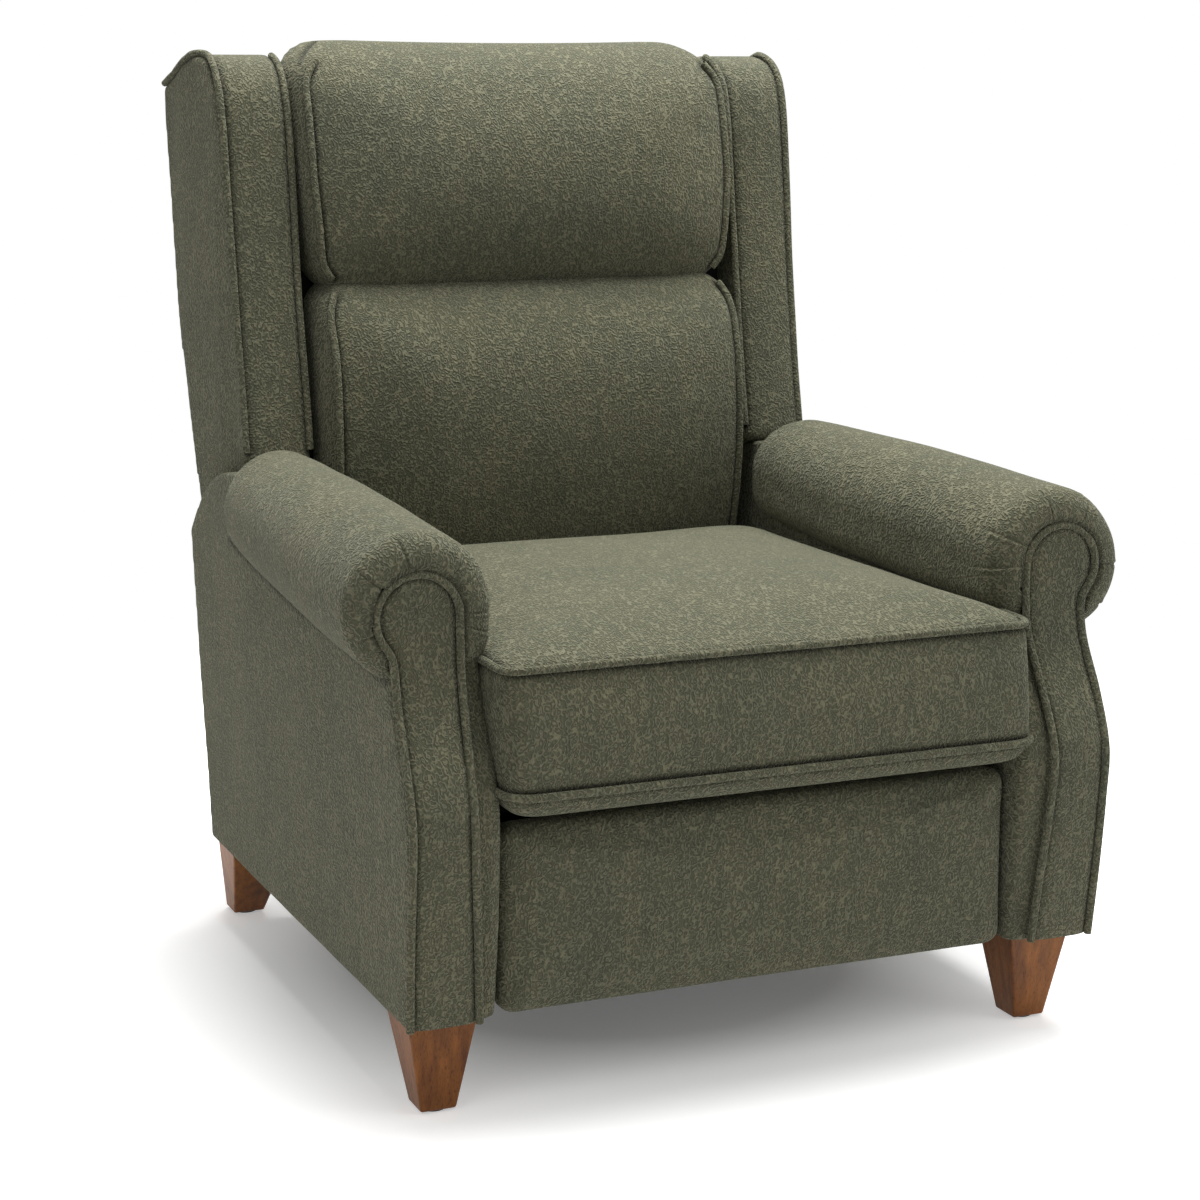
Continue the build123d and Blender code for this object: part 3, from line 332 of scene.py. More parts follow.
def stuffed(name, skin, grain, passes):
    """A soft form out of a plain closed skin."""
    piece = new_piece(name, *skin, chenille)
    mesh = piece.modifiers.new("Skin", "REMESH")
    mesh.mode = "VOXEL"
    mesh.voxel_size = grain
    soften = piece.modifiers.new("Soften", "SMOOTH")
    soften.factor = 0.5
    soften.iterations = passes
    worked(piece)
    piece.data.materials.clear()
    piece.data.materials.append(chenille.material)
    return smooth_faces(piece)


def moved(piece, change):
    """Moves every point of a piece by a function of all the points at once."""
    spots = np.empty(len(piece.data.vertices) * 3)
    piece.data.vertices.foreach_get("co", spots)
    spots = change(spots.reshape(-1, 3))
    piece.data.vertices.foreach_set("co", spots.ravel())
    piece.data.update()
    return piece


def pushed(spots, axis, amount):
    """The points with one coordinate raised by an amount at each."""
    spots = spots.copy()
    spots[:, axis] += amount
    return spots


def ripple(spots, scale, seed):
    """Smooth unevenness from -1 to 1 at each point."""
    return np.array([noise.noise(Vector(p) * scale + Vector((seed, 0, 0))) for p in spots])


front_z = [0.112, 0.2, 0.28, 0.31, 0.345, 0.38, 0.41, 0.43, 0.455, 0.485, 0.51, 0.62]
front_y = [-0.458, -0.468, -0.4765, -0.479, -0.4785, -0.466, -0.449, -0.4385, -0.428, -0.421, -0.42, -0.42]


def arm_face(z):
    """How far forward the arm reaches at a height."""
    return np.interp(z, front_z, front_y)


roll_length = 0.634
roll_start = np.array((0.3776, -0.4255, 0.5419))
roll_end = np.array((0.3575, 0.2085, 0.5655))
roll_run = (roll_end - roll_start) / np.linalg.norm(roll_end - roll_start)
roll_up = np.cross((1, 0, 0), roll_run)


def roll_radius(share):
    """The roll is fullest near the front and tapers towards the wing."""
    return 0.080 - 0.0123 * share + 0.0048 * math.sin(math.pi * share)


pivot_y, pivot_z = 0.158, 0.31
arm_low, arm_outside, arm_cut = 0.1095, 0.4105, 0.2945
knob_x, knob_z, knob_radius = 0.381, 0.536, 0.045


def round_pivot(radius, turns):
    """Points on an arc about the back's pivot; a turn of 0 is straight up."""
    return [(pivot_y + radius * math.sin(a), pivot_z + radius * math.cos(a)) for a in turns]


def arm_outline(setback):
    """The arm's side view without its roll; the top behind the roll is struck from the back's pivot."""
    line = [(arm_face(z) + 0.007 + setback, z) for z in np.linspace(arm_low, knob_z, 44)]
    line += [(-0.36, 0.545), (0.05, 0.563), (0.125, 0.566)]
    line += round_pivot(arm_cut, np.linspace(-0.1, 0.852, 30))
    return line + [(0.3525, 0.32), (0.32, arm_low), (0.0, arm_low), (-0.25, arm_low)]


def arm_skin():
    rings = []
    for x, setback in ((0.3098, 0.012), (0.3105, 0.008), (0.3135, 0.0035), (0.32, 0.001), (0.33, 0), (0.36, 0),
                       (0.39, 0), (0.407, 0), (arm_outside, 0.002)):
        rings.append([(x, y, z) for y, z in arm_outline(setback)])
    return shell(rings)


def settle_arm(spots):
    """The outside flares towards the front, and the cover lies a little unevenly."""
    x, y, z = spots.T
    near_front = np.clip((-0.34 - y) / 0.1, 0, 1) ** 2
    flare = np.where(x > 0.37, 0.0015, 0) * near_front * np.exp(-((z - 0.335) / 0.085) ** 2)
    tuck = np.where((x < 0.335) & (z < 0.47), 0.001, 0) * near_front
    return pushed(spots, 0, flare - tuck + 0.0014 * ripple(spots, 7.0, 3.0))


outer_edge = [(0.409, 0.112), (0.4105, 0.2), (0.4102, 0.28), (0.4102, 0.337), (0.4095, 0.395), (0.408, 0.445),
              (0.4075, 0.473), (0.4095, 0.496)]
inner_edge = [(0.333, 0.112), (0.3375, 0.2), (0.342, 0.28), (0.3435, 0.337), (0.341, 0.4), (0.337, 0.46),
              (0.336, 0.5), (0.336, 0.536)]
knob = [(knob_x + knob_radius * math.cos(a), knob_z + knob_radius * math.sin(a))
        for a in np.radians(np.arange(-42, 180, 6))]
outer_side = outer_edge + [p for p in knob if p[0] >= knob_x]


def panel_span(z):
    """Inner and outer edge of the keyhole panel at a height."""
    half = np.sqrt(np.clip(knob_radius ** 2 - (z - knob_z) ** 2, 0, None))
    inner = np.interp(z, [p[1] for p in inner_edge], [p[0] for p in inner_edge])
    outer = np.interp(z, [p[1] for p in outer_side], [p[0] for p in outer_side])
    return np.where(z > knob_z, knob_x - half, inner), np.where(z > knob_z, knob_x + half, outer)


def roll_stations():
    """Steps along the roll with the radius at each: a full front, a long taper, a rounded rear."""
    full = roll_radius(0.05)
    steps = [(0.006, 0.02), (0.003, 0.036), (0.001, 0.046)]
    steps += [(0.028 - 0.028 * math.cos(a), 0.052 + (full - 0.052) * math.sin(a))
              for a in np.linspace(0, math.pi / 2, 14)]
    steps += [(t, roll_radius(t / roll_length)) for t in
              np.concatenate((np.arange(0.032, 0.09, 0.0035), np.linspace(0.095, roll_length - 0.05, 52)))]
    steps += [(roll_length - 0.045 + 0.045 * math.sin(a), roll_radius(1) - 0.045 + 0.045 * math.cos(a))
              for a in np.linspace(0, math.pi / 2, 12)]
    return steps


def roll_skin(folds):
    """The roll; its inner side drops straight to the seat, and folds radiate from the keyhole's edge."""
    turns = np.linspace(0, 2 * math.pi, 480, endpoint=False)
    below = np.clip(-np.sin(turns), 0, 1)
    wide = np.where((np.cos(turns) < 0) & (np.sin(turns) < 0), below ** 6 - 1, np.cos(turns))
    rings = []
    for along, radius in roll_stations():
        lag = 0.022 * max(0, (along - roll_length + 0.14) / 0.14) ** 2
        centre = roll_start + roll_run * along
        reach = np.full(len(turns), radius)
        forward = np.zeros(len(turns))
        fade = math.exp(-(along / 0.05) ** 2) * min(1, max(0, (radius - 0.044) / 0.01))
        for fold, length in folds:
            lean = 5 * math.sin(fold) * along / 0.05
            off = (np.degrees(turns) - fold - lean + 180) % 360 - 180
            crease = 0.55 * np.exp(-((off - 2.6) / 1.8) ** 2) - np.exp(-(off / 1.2) ** 2)
            share = min(1, along / 0.028)
            depth = 0.0019 * fade * math.exp(-(along / length) ** 4)
            reach = reach + depth * share * crease
            forward = forward + depth * (1 - share) * crease
        ring = centre + np.outer(reach * wide, (1, 0, 0)) + np.outer(reach * np.sin(turns), roll_up)
        ring = ring - np.outer(lag * (1 + np.cos(turns)) + forward, roll_run)
        low, high = panel_span(ring[:, 2])
        under = (ring[:, 0] > low - 0.003) & (ring[:, 0] < high + 0.003)
        under &= ring[:, 2] < knob_z + knob_radius + 0.003
        ring[:, 1] = np.where(under, np.maximum(ring[:, 1], arm_face(ring[:, 2]) + 0.006), ring[:, 1])
        rings.append(ring)
    return shell(rings)


def slumped(spots):
    """The front of the right roll has sunk outwards."""
    out, up = spots[:, 0] - roll_start[0], spots[:, 2] - roll_start[2]
    away = np.maximum(np.hypot(out, up), 1e-6)
    near_front = np.clip((-0.2 - spots[:, 1]) / 0.16, 0, 1)
    outwards = np.clip((out - up) / away / math.sqrt(2), 0, 1)
    sunk = 0.014 * near_front ** 2 * (3 - 2 * near_front) * outwards ** 2 * (away / 0.08) ** 2 / away
    return spots + np.stack((sunk * out, 0 * sunk, sunk * up), 1)


def uneven(amount, scale, seed):
    """Small hollows and swells, as stuffing leaves them."""
    return lambda spots: spots + np.stack([amount * ripple(spots, scale, seed + k) for k in (0, 5, 9)], 1)


def mirrored(piece, name):
    """The twin of a right-hand piece on the left, with its faces turned outwards."""
    twin = bpy.data.objects.new(name, piece.data.copy())
    bpy.context.scene.collection.objects.link(twin)
    moved(twin, lambda spots: spots * (-1, 1, 1))
    twin.data.flip_normals()
    return twin


right_arm = moved(stuffed("right_arm_cover", arm_skin(), 0.0045, 5), settle_arm)
left_arm = mirrored(right_arm, "left_arm_cover")
right_folds = ((-43, 0.04), (-8, 0.03), (57, 0.03), (103, 0.028), (157, 0.045), (184, 0.05))
left_folds = ((-21, 0.04), (33, 0.026), (74, 0.022), (132, 0.025), (150, 0.04), (185, 0.05), (202, 0.04))
right_roll = moved(smooth_faces(new_piece("right_roll_cover", *roll_skin(right_folds), chenille)),
                   lambda spots: slumped(uneven(0.0012, 9.0, 8.0)(spots)))
roll_pattern = moved(smooth_faces(new_piece("roll_pattern", *roll_skin(left_folds), chenille)),
                     uneven(0.0012, 9.0, 60.0))
left_roll = mirrored(roll_pattern, "left_roll_cover")
bpy.data.objects.remove(roll_pattern)


def press_switch(spots):
    """The cover dips to the switch that is let into the roll's inner side."""
    low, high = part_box("switch_bezel")
    x, y, z = spots.T
    away_y = np.maximum(np.abs(y - (low.y + high.y) / 2) - (high.y - low.y) / 2 - 0.004, 0)
    away_z = np.maximum(np.abs(z - (low.z + high.z) / 2) - (high.z - low.z) / 2 - 0.003, 0)
    share = 0.5 + 0.5 * np.cos(math.pi * np.clip(np.hypot(away_y, away_z) / 0.032, 0, 1))
    dip = np.where(x > -0.36, np.maximum(x - high.x + 0.003, 0), 0)
    return pushed(spots, 0, -dip * share)


moved(left_roll, press_switch)
for piece in (right_arm, left_arm, right_roll, left_roll):
    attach(piece, "base")
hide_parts("right_arm_pad")
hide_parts("left_arm_pad")


# The piping: a cord in a strip of the same chenille, sewn into the seams.
# It rings the arm fronts, the cushions and the wings.
def piping_nodes():
    tree = bpy.data.node_groups.new("piping", "GeometryNodeTree")
    face = tree.interface
    face.new_socket("Geometry", in_out="INPUT", socket_type="NodeSocketGeometry")
    radius = face.new_socket("Cord radius", in_out="INPUT", socket_type="NodeSocketFloat")
    cover = face.new_socket("Cover", in_out="INPUT", socket_type="NodeSocketMaterial")
    face.new_socket("Geometry", in_out="OUTPUT", socket_type="NodeSocketGeometry")
    add = tree.nodes.new
    start, end = add("NodeGroupInput"), add("NodeGroupOutput")
    line, cord = add("GeometryNodeMeshToCurve"), add("GeometryNodeCurveToMesh")
    circle, round_off = add("GeometryNodeCurvePrimitiveCircle"), add("GeometryNodeSetShadeSmooth")
    real, dress = add("GeometryNodeRealizeInstances"), add("GeometryNodeSetMaterial")
    circle.inputs["Resolution"].default_value = 10
    cord.inputs["Fill Caps"].default_value = True
    link = tree.links.new
    link(start.outputs["Geometry"], line.inputs["Mesh"])
    link(line.outputs["Curve"], cord.inputs["Curve"])
    link(start.outputs["Cord radius"], circle.inputs["Radius"])
    link(circle.outputs["Curve"], cord.inputs["Profile Curve"])
    link(cord.outputs["Mesh"], round_off.inputs["Geometry"])
    link(round_off.outputs["Geometry"], real.inputs["Geometry"])
    link(real.outputs["Geometry"], dress.inputs["Geometry"])
    link(start.outputs["Cover"], dress.inputs["Material"])
    link(dress.outputs["Geometry"], end.inputs["Geometry"])
    return tree, radius.identifier, cover.identifier


piping_tree, cord_radius_id, cord_cover_id = piping_nodes()
stitch, thick_cord, thin_cord = 0.006, 0.0044, 0.0043


def even_line(points, step, closed=False):
    """A smooth line through points, cut into even steps."""
    points = [np.array(p, float) for p in points]
    last = len(points) if closed else len(points) - 1
    fine = []
    for i in range(last):
        if closed:
            a, b, c, d = (points[(i + k) % len(points)] for k in (-1, 0, 1, 2))
        else:
            a, b, c, d = (points[min(max(i + k, 0), len(points) - 1)] for k in (-1, 0, 1, 2))
        for t in np.linspace(0, 1, 12, endpoint=False):
            fine.append(0.5 * (2 * b + (c - a) * t + (2 * a - 5 * b + 4 * c - d) * t ** 2
                               + (3 * b - a - 3 * c + d) * t ** 3))
    fine.append(points[0] if closed else points[-1])
    fine = np.array(fine)
    reach = np.concatenate(([0], np.cumsum(np.linalg.norm(np.diff(fine, axis=0), axis=1))))
    marks = np.linspace(0, reach[-1], max(3, int(reach[-1] / step)))
    line = np.stack([np.interp(marks, reach, fine[:, k]) for k in range(3)], 1)
    return line[:-1] if closed else line


def skin_tree(piece):
    """A piece's faces, to be searched for the nearest spot."""
    points = [v.co.copy() for v in piece.data.vertices]
    return BVHTree.FromPolygons(points, [list(p.vertices) for p in piece.data.polygons])


def piping(name, lines, radius, skin=None, proud=0.4, closed=False):
    """Cords along lines; with a skin given, each line is first drawn onto it."""
    points, edges = [], []
    for line in lines:
        line = even_line(line, stitch, closed)
        if skin is not None:
            drawn_on = []
            for p in line:
                spot, normal, _, _ = skin.find_nearest(Vector(p))
                drawn_on.append(np.array(spot) + np.array(normal) * radius * proud)
            line = np.array(drawn_on)
            for _ in range(2):
                if closed:
                    line = 0.5 * line + 0.25 * (np.roll(line, 1, 0) + np.roll(line, -1, 0))
                else:
                    line[1:-1] = 0.5 * line[1:-1] + 0.25 * (line[:-2] + line[2:])
        first = len(points)
        points += [tuple(p) for p in line]
        edges += [(first + i, first + i + 1) for i in range(len(line) - 1)]
        if closed:
            edges.append((len(points) - 1, first))
    mesh = bpy.data.meshes.new(name)
    mesh.from_pydata(points, edges, [])
    piece = bpy.data.objects.new(name, mesh)
    bpy.context.scene.collection.objects.link(piece)
    made = piece.modifiers.new("Piping", "NODES")
    made.node_group = piping_tree
    made[cord_radius_id] = radius
    made[cord_cover_id] = chenille.material
    return worked(piece)


# The arm fronts: a keyhole-shaped panel of chenille over thin padding, on the front of each arm.
# Piping is sewn round its edge, and the roll's cover is gathered into it.
def near_line(spots, line, reach):
    """1 on a line and 0 beyond its reach."""
    line = np.array(line)
    away = np.full(len(spots), 1.0)
    for start in range(0, len(spots), 4000):
        part = spots[start:start + 4000]
        away[start:start + 4000] = np.linalg.norm(part[:, None] - line[None], axis=2).min(1)
    return np.clip(1.6 * (1 - away / reach), 0, 1)


def seamed(piece, lines, depth=0.0018, reach=0.0105):
    """Draws the cover in along its seams and paints shade along them, which darkens the chenille there."""
    normals = np.empty(len(piece.data.vertices) * 3)
    piece.data.vertices.foreach_get("normal", normals)
    spots = np.array([v.co for v in piece.data.vertices])
    share = near_line(spots, np.concatenate(lines), reach)
    seam_shade_paint = piece.data.attributes.get("crushed") or piece.data.attributes.new("crushed", "FLOAT", "POINT")
    before = np.empty(len(share))
    seam_shade_paint.data.foreach_get("value", before)
    seam_shade_paint.data.foreach_set("value", np.maximum(before, share))
    return moved(piece, lambda spots: spots - depth * share[:, None] * normals.reshape(-1, 3))


def keyhole_panel():
    """The panel's padded front and its flat rear, as rows from the bottom up."""
    heights = list(np.arange(0.1125, knob_z, 0.006))
    heights += [knob_z + 0.0449 * math.sin(a) for a in np.linspace(0, math.pi / 2, 10)]
    rows, behind = [], []
    for z in heights:
        low, high = panel_span(z)
        middle, half = (low + high) / 2, (high - low) / 2
        across = np.linspace(-1, 1, 25)
        rows.append([(middle + u * half, arm_face(z) + 0.003 - 0.0075 * (1 - abs(u) ** 5), z) for u in across])
        behind.append([(middle + u * half * 0.99, arm_face(z) + 0.012, z) for u in across])
    return two_faced(rows, behind)


right_panel = smooth_faces(new_piece("right_arm_panel", *keyhole_panel(), chenille))
rim = outer_edge + knob[1:] + list(reversed(inner_edge[:-1]))
rim_line = [(x, arm_face(z) - 0.0028, z) for x, z in rim]
right_piping = piping("right_arm_piping", [rim_line], thick_cord)
rim_marks = even_line(rim_line, 0.004)
# Painted shade along the panel's rim, without drawing it in.
seamed(right_panel, [rim_marks], 0.0, 0.009)
# The line where the roll meets the arm's outside, where painted shade stands for the shadow under the roll.
crease = []
for share in np.linspace(0.03, 0.97, 40):
    centre = roll_start + roll_run * roll_length * share
    drop = math.sqrt(roll_radius(share) ** 2 - (arm_outside - centre[0]) ** 2)
    crease.append((arm_outside, centre[1], centre[2] - drop))
crease = even_line(crease, 0.004)
# Along the rim the arm and roll covers are drawn in by a millimetre and painted darker as shade; along the crease
# they are only painted darker, as the shade under the roll's overhang.
for piece, side in ((right_arm, 1), (right_roll, 1), (left_arm, -1), (left_roll, -1)):
    seamed(piece, [rim_marks * (side, 1, 1)], 0.001)
    seamed(piece, [crease * (side, 1, 1)], 0.0, 0.008)
for piece in (right_panel, mirrored(right_panel, "left_arm_panel")):
    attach(piece, "base")
    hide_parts(piece.name.split("_")[0] + "_arm_front")
for piece in (right_piping, mirrored(right_piping, "left_arm_piping")):
    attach(piece, "base")


# The seat cushion: a box cushion of foam in a loose cover, with piping round its top and bottom edges.
# It is made from a top, a boxing strip and a base, and swells between its seams.
def rounded_ring(half, low, high, radius):
    """Points round a rectangle with rounded corners, the same number whatever its size."""
    corner, straight = 7, 22
    loop = []
    corners = ((half - radius, low + radius, -90), (half - radius, high - radius, 0),
               (radius - half, high - radius, 90), (radius - half, low + radius, 180))
    for k, (u, v, turn) in enumerate(corners):
        arc = [(u + radius * math.cos(a), v + radius * math.sin(a))
               for a in np.radians(np.linspace(turn, turn + 90, corner))]
        loop += arc
        u2, v2, turn2 = corners[(k + 1) % 4]
        goal = (u2 + radius * math.cos(math.radians(turn2)), v2 + radius * math.sin(math.radians(turn2)))
        for t in np.linspace(0, 1, straight + 2)[1:-1]:
            loop.append((arc[-1][0] + (goal[0] - arc[-1][0]) * t, arc[-1][1] + (goal[1] - arc[-1][1]) * t))
    return loop


def plumped(piece, held, pressure, cap):
    """Blows the cover up like a filled cushion, held at its seams, by no more than the cap."""
    spots = np.array([v.co for v in piece.data.vertices])
    seams = piece.vertex_groups.new(name="seams")
    grip = held(spots)
    for index in np.nonzero(grip > 0.02)[0]:
        seams.add([int(index)], float(grip[index]), "REPLACE")
    cloth = piece.modifiers.new("Cloth", "CLOTH")
    cloth.settings.quality = 4
    cloth.settings.mass = 0.3
    cloth.settings.tension_stiffness = 12
    cloth.settings.compression_stiffness = 12
    cloth.settings.shear_stiffness = 5
    cloth.settings.bending_stiffness = 0.6
    cloth.settings.use_pressure = True
    cloth.settings.uniform_pressure_force = pressure
    cloth.settings.vertex_group_mass = "seams"
    cloth.settings.effector_weights.gravity = 0
    cloth.collision_settings.use_collision = False
    cloth.point_cache.frame_start = 1
    cloth.point_cache.frame_end = last = 20
    for step in range(1, last + 1):
        bpy.context.scene.frame_set(step)
    worked(piece)
    bpy.context.scene.frame_set(1)
    piece.vertex_groups.clear()

    def limit(blown):
        shift = blown - spots
        reach = np.linalg.norm(shift, axis=1, keepdims=True)
        eased = cap * np.tanh(reach / cap)
        return spots + shift * eased / np.maximum(reach, 1e-9)

    return moved(piece, limit)


seat_half, seat_rear, base_z = 0.3095, 0.184, 0.3395
low_front, low_z = -0.4965, 0.357
top_front, top_z = -0.4825, 0.4855
low_ring = rounded_ring(seat_half, low_front, seat_rear, 0.02)
top_ring = rounded_ring(seat_half, top_front, seat_rear, 0.022)
seat_low_edge = even_line([(x, y, low_z) for x, y in low_ring[::2]], stitch, True)
seat_top_edge = even_line([(x, y, top_z) for x, y in top_ring[::2]], stitch, True)


def seat_rings():
    """The base with its front lip, the boxing strip and the crowned top."""
    rings = []
    for inset, z, lip in ((0.2, base_z, 0), (0.088, base_z, 0), (0.075, base_z, 0.009), (0.03, base_z, 0.0105),
                          (0.013, 0.3405, 0.0095), (0.005, 0.3455, 0.006)):
        ring = rounded_ring(seat_half - inset, low_front + inset, seat_rear - inset, 0.02)
        rings.append([(x, y, z - lip * min(1, max(0, (-0.4 - y) / 0.02))) for x, y in ring])
    for t in np.linspace(0, 1, 12):
        swell = math.sin(math.pi * t)
        front = low_front + (top_front - low_front) * t - 0.008 * swell
        ring = rounded_ring(seat_half - 0.002 * swell, front, seat_rear, 0.021)
        rings.append([(x, y, low_z + (top_z - low_z) * t) for x, y in ring])
    for inset in (0.004, 0.012, 0.025, 0.045, 0.075, 0.12, 0.18, 0.25, 0.3):
        rise = 0.028 * (1 - (1 - inset / 0.3) ** 5.0)
        corner = max(0.006, 0.022 - inset * 0.05)
        ring = rounded_ring(seat_half - inset, top_front + inset, seat_rear - inset, corner)
        rings.append([(x, y, top_z + rise * (1.3 - 0.3 * min(1, max(0, (y + 0.1) / 0.25)))) for x, y in ring])
    return rings


seat = stuffed("seat_cushion_cover", shell(seat_rings()), 0.0075, 4)


def seat_grip(spots):
    """The seams and the base are held."""
    held = np.maximum(near_line(spots, seat_low_edge, 0.016), near_line(spots, seat_top_edge, 0.016))
    return np.maximum(held, np.clip((0.35 - spots[:, 2]) / 0.006, 0, 1))


plumped(seat, seat_grip, 4.0, 0.024)
moved(seat, lambda spots: pushed(spots, 2, np.where(spots[:, 2] > 0.47, 0.0022, 0) * ripple(spots, 6.0, 21.0)))
finer = seat.modifiers.new("Finer", "SUBSURF")
finer.levels = finer.render_levels = 1
smooth_faces(worked(seat))
seat_piping = piping("seat_piping", [seat_low_edge, seat_top_edge], thick_cord, skin_tree(seat), 0.75, True)
# Painted shade along the seat's piping, where the cover is drawn in.
seamed(seat, [seat_low_edge, seat_top_edge])
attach(seat, "base")
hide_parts("seat_cushion")
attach(seat_piping, "base")


# The back: a lower cushion and a headrest pillow, each a soft front with side strips, piped at the sides.
# The headrest bulges over the lower cushion, and its top corners are gathered and folded.
def pad_rings(front_half, rear_half, low, high, front_at, rear_at, corner, crown):
    """Rings of an upright pad, from its rear to the middle of its front."""
    rings = []
    for inset in (0.1, 0.04, 0.012):
        rings.append([(x, rear_at(z), z) for x, z in
                      rounded_ring(rear_half - inset, low + inset, high - inset, corner)])
    for t in np.linspace(0, 1, 9):
        half = rear_half + (front_half - rear_half) * t ** 1.5
        rings.append([(x, rear_at(z) + (front_at(z) - rear_at(z)) * t, z) for x, z in
                      rounded_ring(half, low, high, corner)])
    for inset in (0.006, 0.016, 0.03, 0.05, 0.08, 0.115, 0.15):
        rise = crown * (1 - (1 - min(1, inset / 0.15)) ** 2.2)
        ring = rounded_ring(front_half - inset, low + inset, high - inset, max(0.012, corner - inset * 0.3))
        rings.append([(x, front_at(z) - rise, z) for x, z in ring])
    return rings


def frame_plane(z):
    """The front of the leaning back frame."""
    return 0.235 + (z - 0.44) * 0.16662


def back_front(z):
    """How far forward the lower cushion's side seams lie at a height."""
    return np.interp(z, [0.41, 0.47, 0.5, 0.55, 0.6, 0.66, 0.72, 0.76, 0.79, 0.81, 0.83],
                     [0.205, 0.2, 0.191, 0.1795, 0.1735, 0.173, 0.18, 0.192, 0.208, 0.225, 0.245])


def head_front(z):
    """The same for the headrest."""
    return np.interp(z, [0.8, 0.815, 0.84, 0.88, 0.93, 0.98, 1.03, 1.06, 1.09, 1.105, 1.118],
                     [0.25, 0.243, 0.233, 0.229, 0.231, 0.2385, 0.251, 0.262, 0.284, 0.304, 0.335])


def spread(spots):
    """The headrest is widest above its middle, and its top dips a little between its corners."""
    x, y, z = spots.T
    dip = 0.0025 * np.clip(np.abs(x) / 0.2, 0, 1) ** 2 * np.clip((z - 1.05) / 0.04, 0, 1)
    wider = 0.036 * np.clip((z - 0.83) / 0.12, 0, 1) * (1 - np.clip((z - 1.04) / 0.07, 0, 1) ** 2)
    return np.stack((x * (1 + wider), y, z + dip), 1)


def head_rear(z):
    """The headrest's top leans back over the frame's top rail."""
    return frame_plane(z) + 0.035 * max(0, (z - 1.056) / 0.06)


back_half, head_half = 0.272, 0.27
lower_back = stuffed("back_cushion_cover", shell(pad_rings(
    back_half, 0.284, 0.408, 0.824, back_front, lambda z: frame_plane(z) - 0.001, 0.035, 0.026)), 0.0065, 4)
headrest = stuffed("headrest_cover", shell(pad_rings(
    head_half, 0.286, 0.808, 1.1155, head_front, head_rear, 0.048, 0.028)), 0.0065, 4)
moved(headrest, spread)


def side_seam(front_at, half, low, high):
    """A seam up the side of a pad's front, turned in at both ends."""
    return [(half - (0.012 if z in (low, high) else 0), front_at(z), z) for z in np.linspace(low, high, 14)]


def both_sides(line):
    """A right-hand line and its twin on the left."""
    return [line, [(-x, y, z) for x, y, z in line]]


back_seams = both_sides(side_seam(back_front, back_half, 0.45, 0.808))
head_seams = both_sides([tuple(p) for p in spread(np.array(side_seam(head_front, head_half, 0.83, 1.085)))])


def pad_grip(seams):
    """The seams and what lies against the frame are held."""
    seam_spots = np.concatenate([even_line(seam, stitch) for seam in seams])

    def grip(spots):
        behind = np.clip((spots[:, 1] - frame_plane(spots[:, 2]) + 0.012) / 0.01, 0, 1)
        return np.maximum(near_line(spots, seam_spots, 0.016), behind)

    return grip


plumped(lower_back, pad_grip(back_seams), 4.0, 0.022)
plumped(headrest, pad_grip(head_seams), 4.0, 0.016)
for piece, node, seams, name in ((lower_back, "back_cushion", back_seams, "back_piping"),
                                 (headrest, "headrest_cushion", head_seams, "headrest_piping")):
    moved(piece, lambda spots: pushed(spots, 1, -0.002 * ripple(spots, 8.0, 31.0)))
    finer = piece.modifiers.new("Finer", "SUBSURF")
    finer.levels = finer.render_levels = 1
    smooth_faces(worked(piece))
    cord = piping(name, seams, thin_cord, skin_tree(piece), 0.55)
    # Painted shade along the side seams, where the cover is drawn in.
    seamed(piece, [even_line(seam, stitch) for seam in seams])
    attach(piece, "back")
    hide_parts(node)
    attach(cord, "back")
# The top corners' folds are drawn in and painted darker: painted shade in the folds.
corner_fold = [(0.272, 0.302, 1.087), (0.259, 0.325, 1.104), (0.24, 0.352, 1.117)]
seamed(headrest, [even_line(fold, 0.004) for fold in both_sides(corner_fold)], 0.004, 0.009)


# The wings: a padded cheek on each side of the back, on a board, with a boxed front edge.
# Piping runs up both edges of the front, round the top, and back along the outer edge.
wing_front = [(0.212, 0.602), (0.212, 0.622), (0.242, 0.792), (0.269, 0.982), (0.2755, 1.02), (0.288, 1.06),
              (0.312, 1.087), (0.345, 1.0985), (0.38, 1.1)]
wing_rear = [(0.5, 1.062), (0.496, 1.0), (0.484, 0.917), (0.466, 0.791), (0.43, 0.67), (0.38, 0.503)]
wing_cut = 0.2952


def wing_line(grow):
    """The wing's side view; its bottom is struck from the back's pivot, to clear the arm."""
    line = [tuple(p[:2]) for p in even_line([(y - grow, z, 0) for y, z in wing_front], 0.012)]
    line += [tuple(p[:2]) for p in even_line([(y, z, 0) for y, z in wing_rear], 0.015)]
    first, last = (math.atan2(y - pivot_y, z - pivot_z) for y, z in (wing_rear[-1], wing_front[0]))
    return line + round_pivot(wing_cut, np.linspace(first, last, 22)[1:-1])


def wing_skin():
    rings = []
    for across, grow in ((0.0, -0.01), (0.02, -0.003), (0.06, 0.0005), (0.2, 0.004), (0.5, 0.0055), (0.8, 0.004),
                         (0.94, 0.0005), (0.985, -0.003), (1.0, -0.008)):
        ring = []
        for y, z in wing_line(grow):
            outside = 0.380 + 0.018 * min(1, max(0, (y - 0.25) / 0.22))
            ring.append((0.2975 + (outside - 0.2975) * across, y, z))
        rings.append(ring)
    return shell(rings)


def settle_wing(spots):
    """The outside of the cheek swells between its edges."""
    x, y = spots.T[:2]
    puff = np.where(x > 0.36, 1, 0) * np.clip((y - 0.25) / 0.05, 0, 1) * np.clip((0.47 - y) / 0.05, 0, 1)
    return pushed(spots, 0, 0.003 * puff + 0.0012 * ripple(spots, 8.0, 44.0))


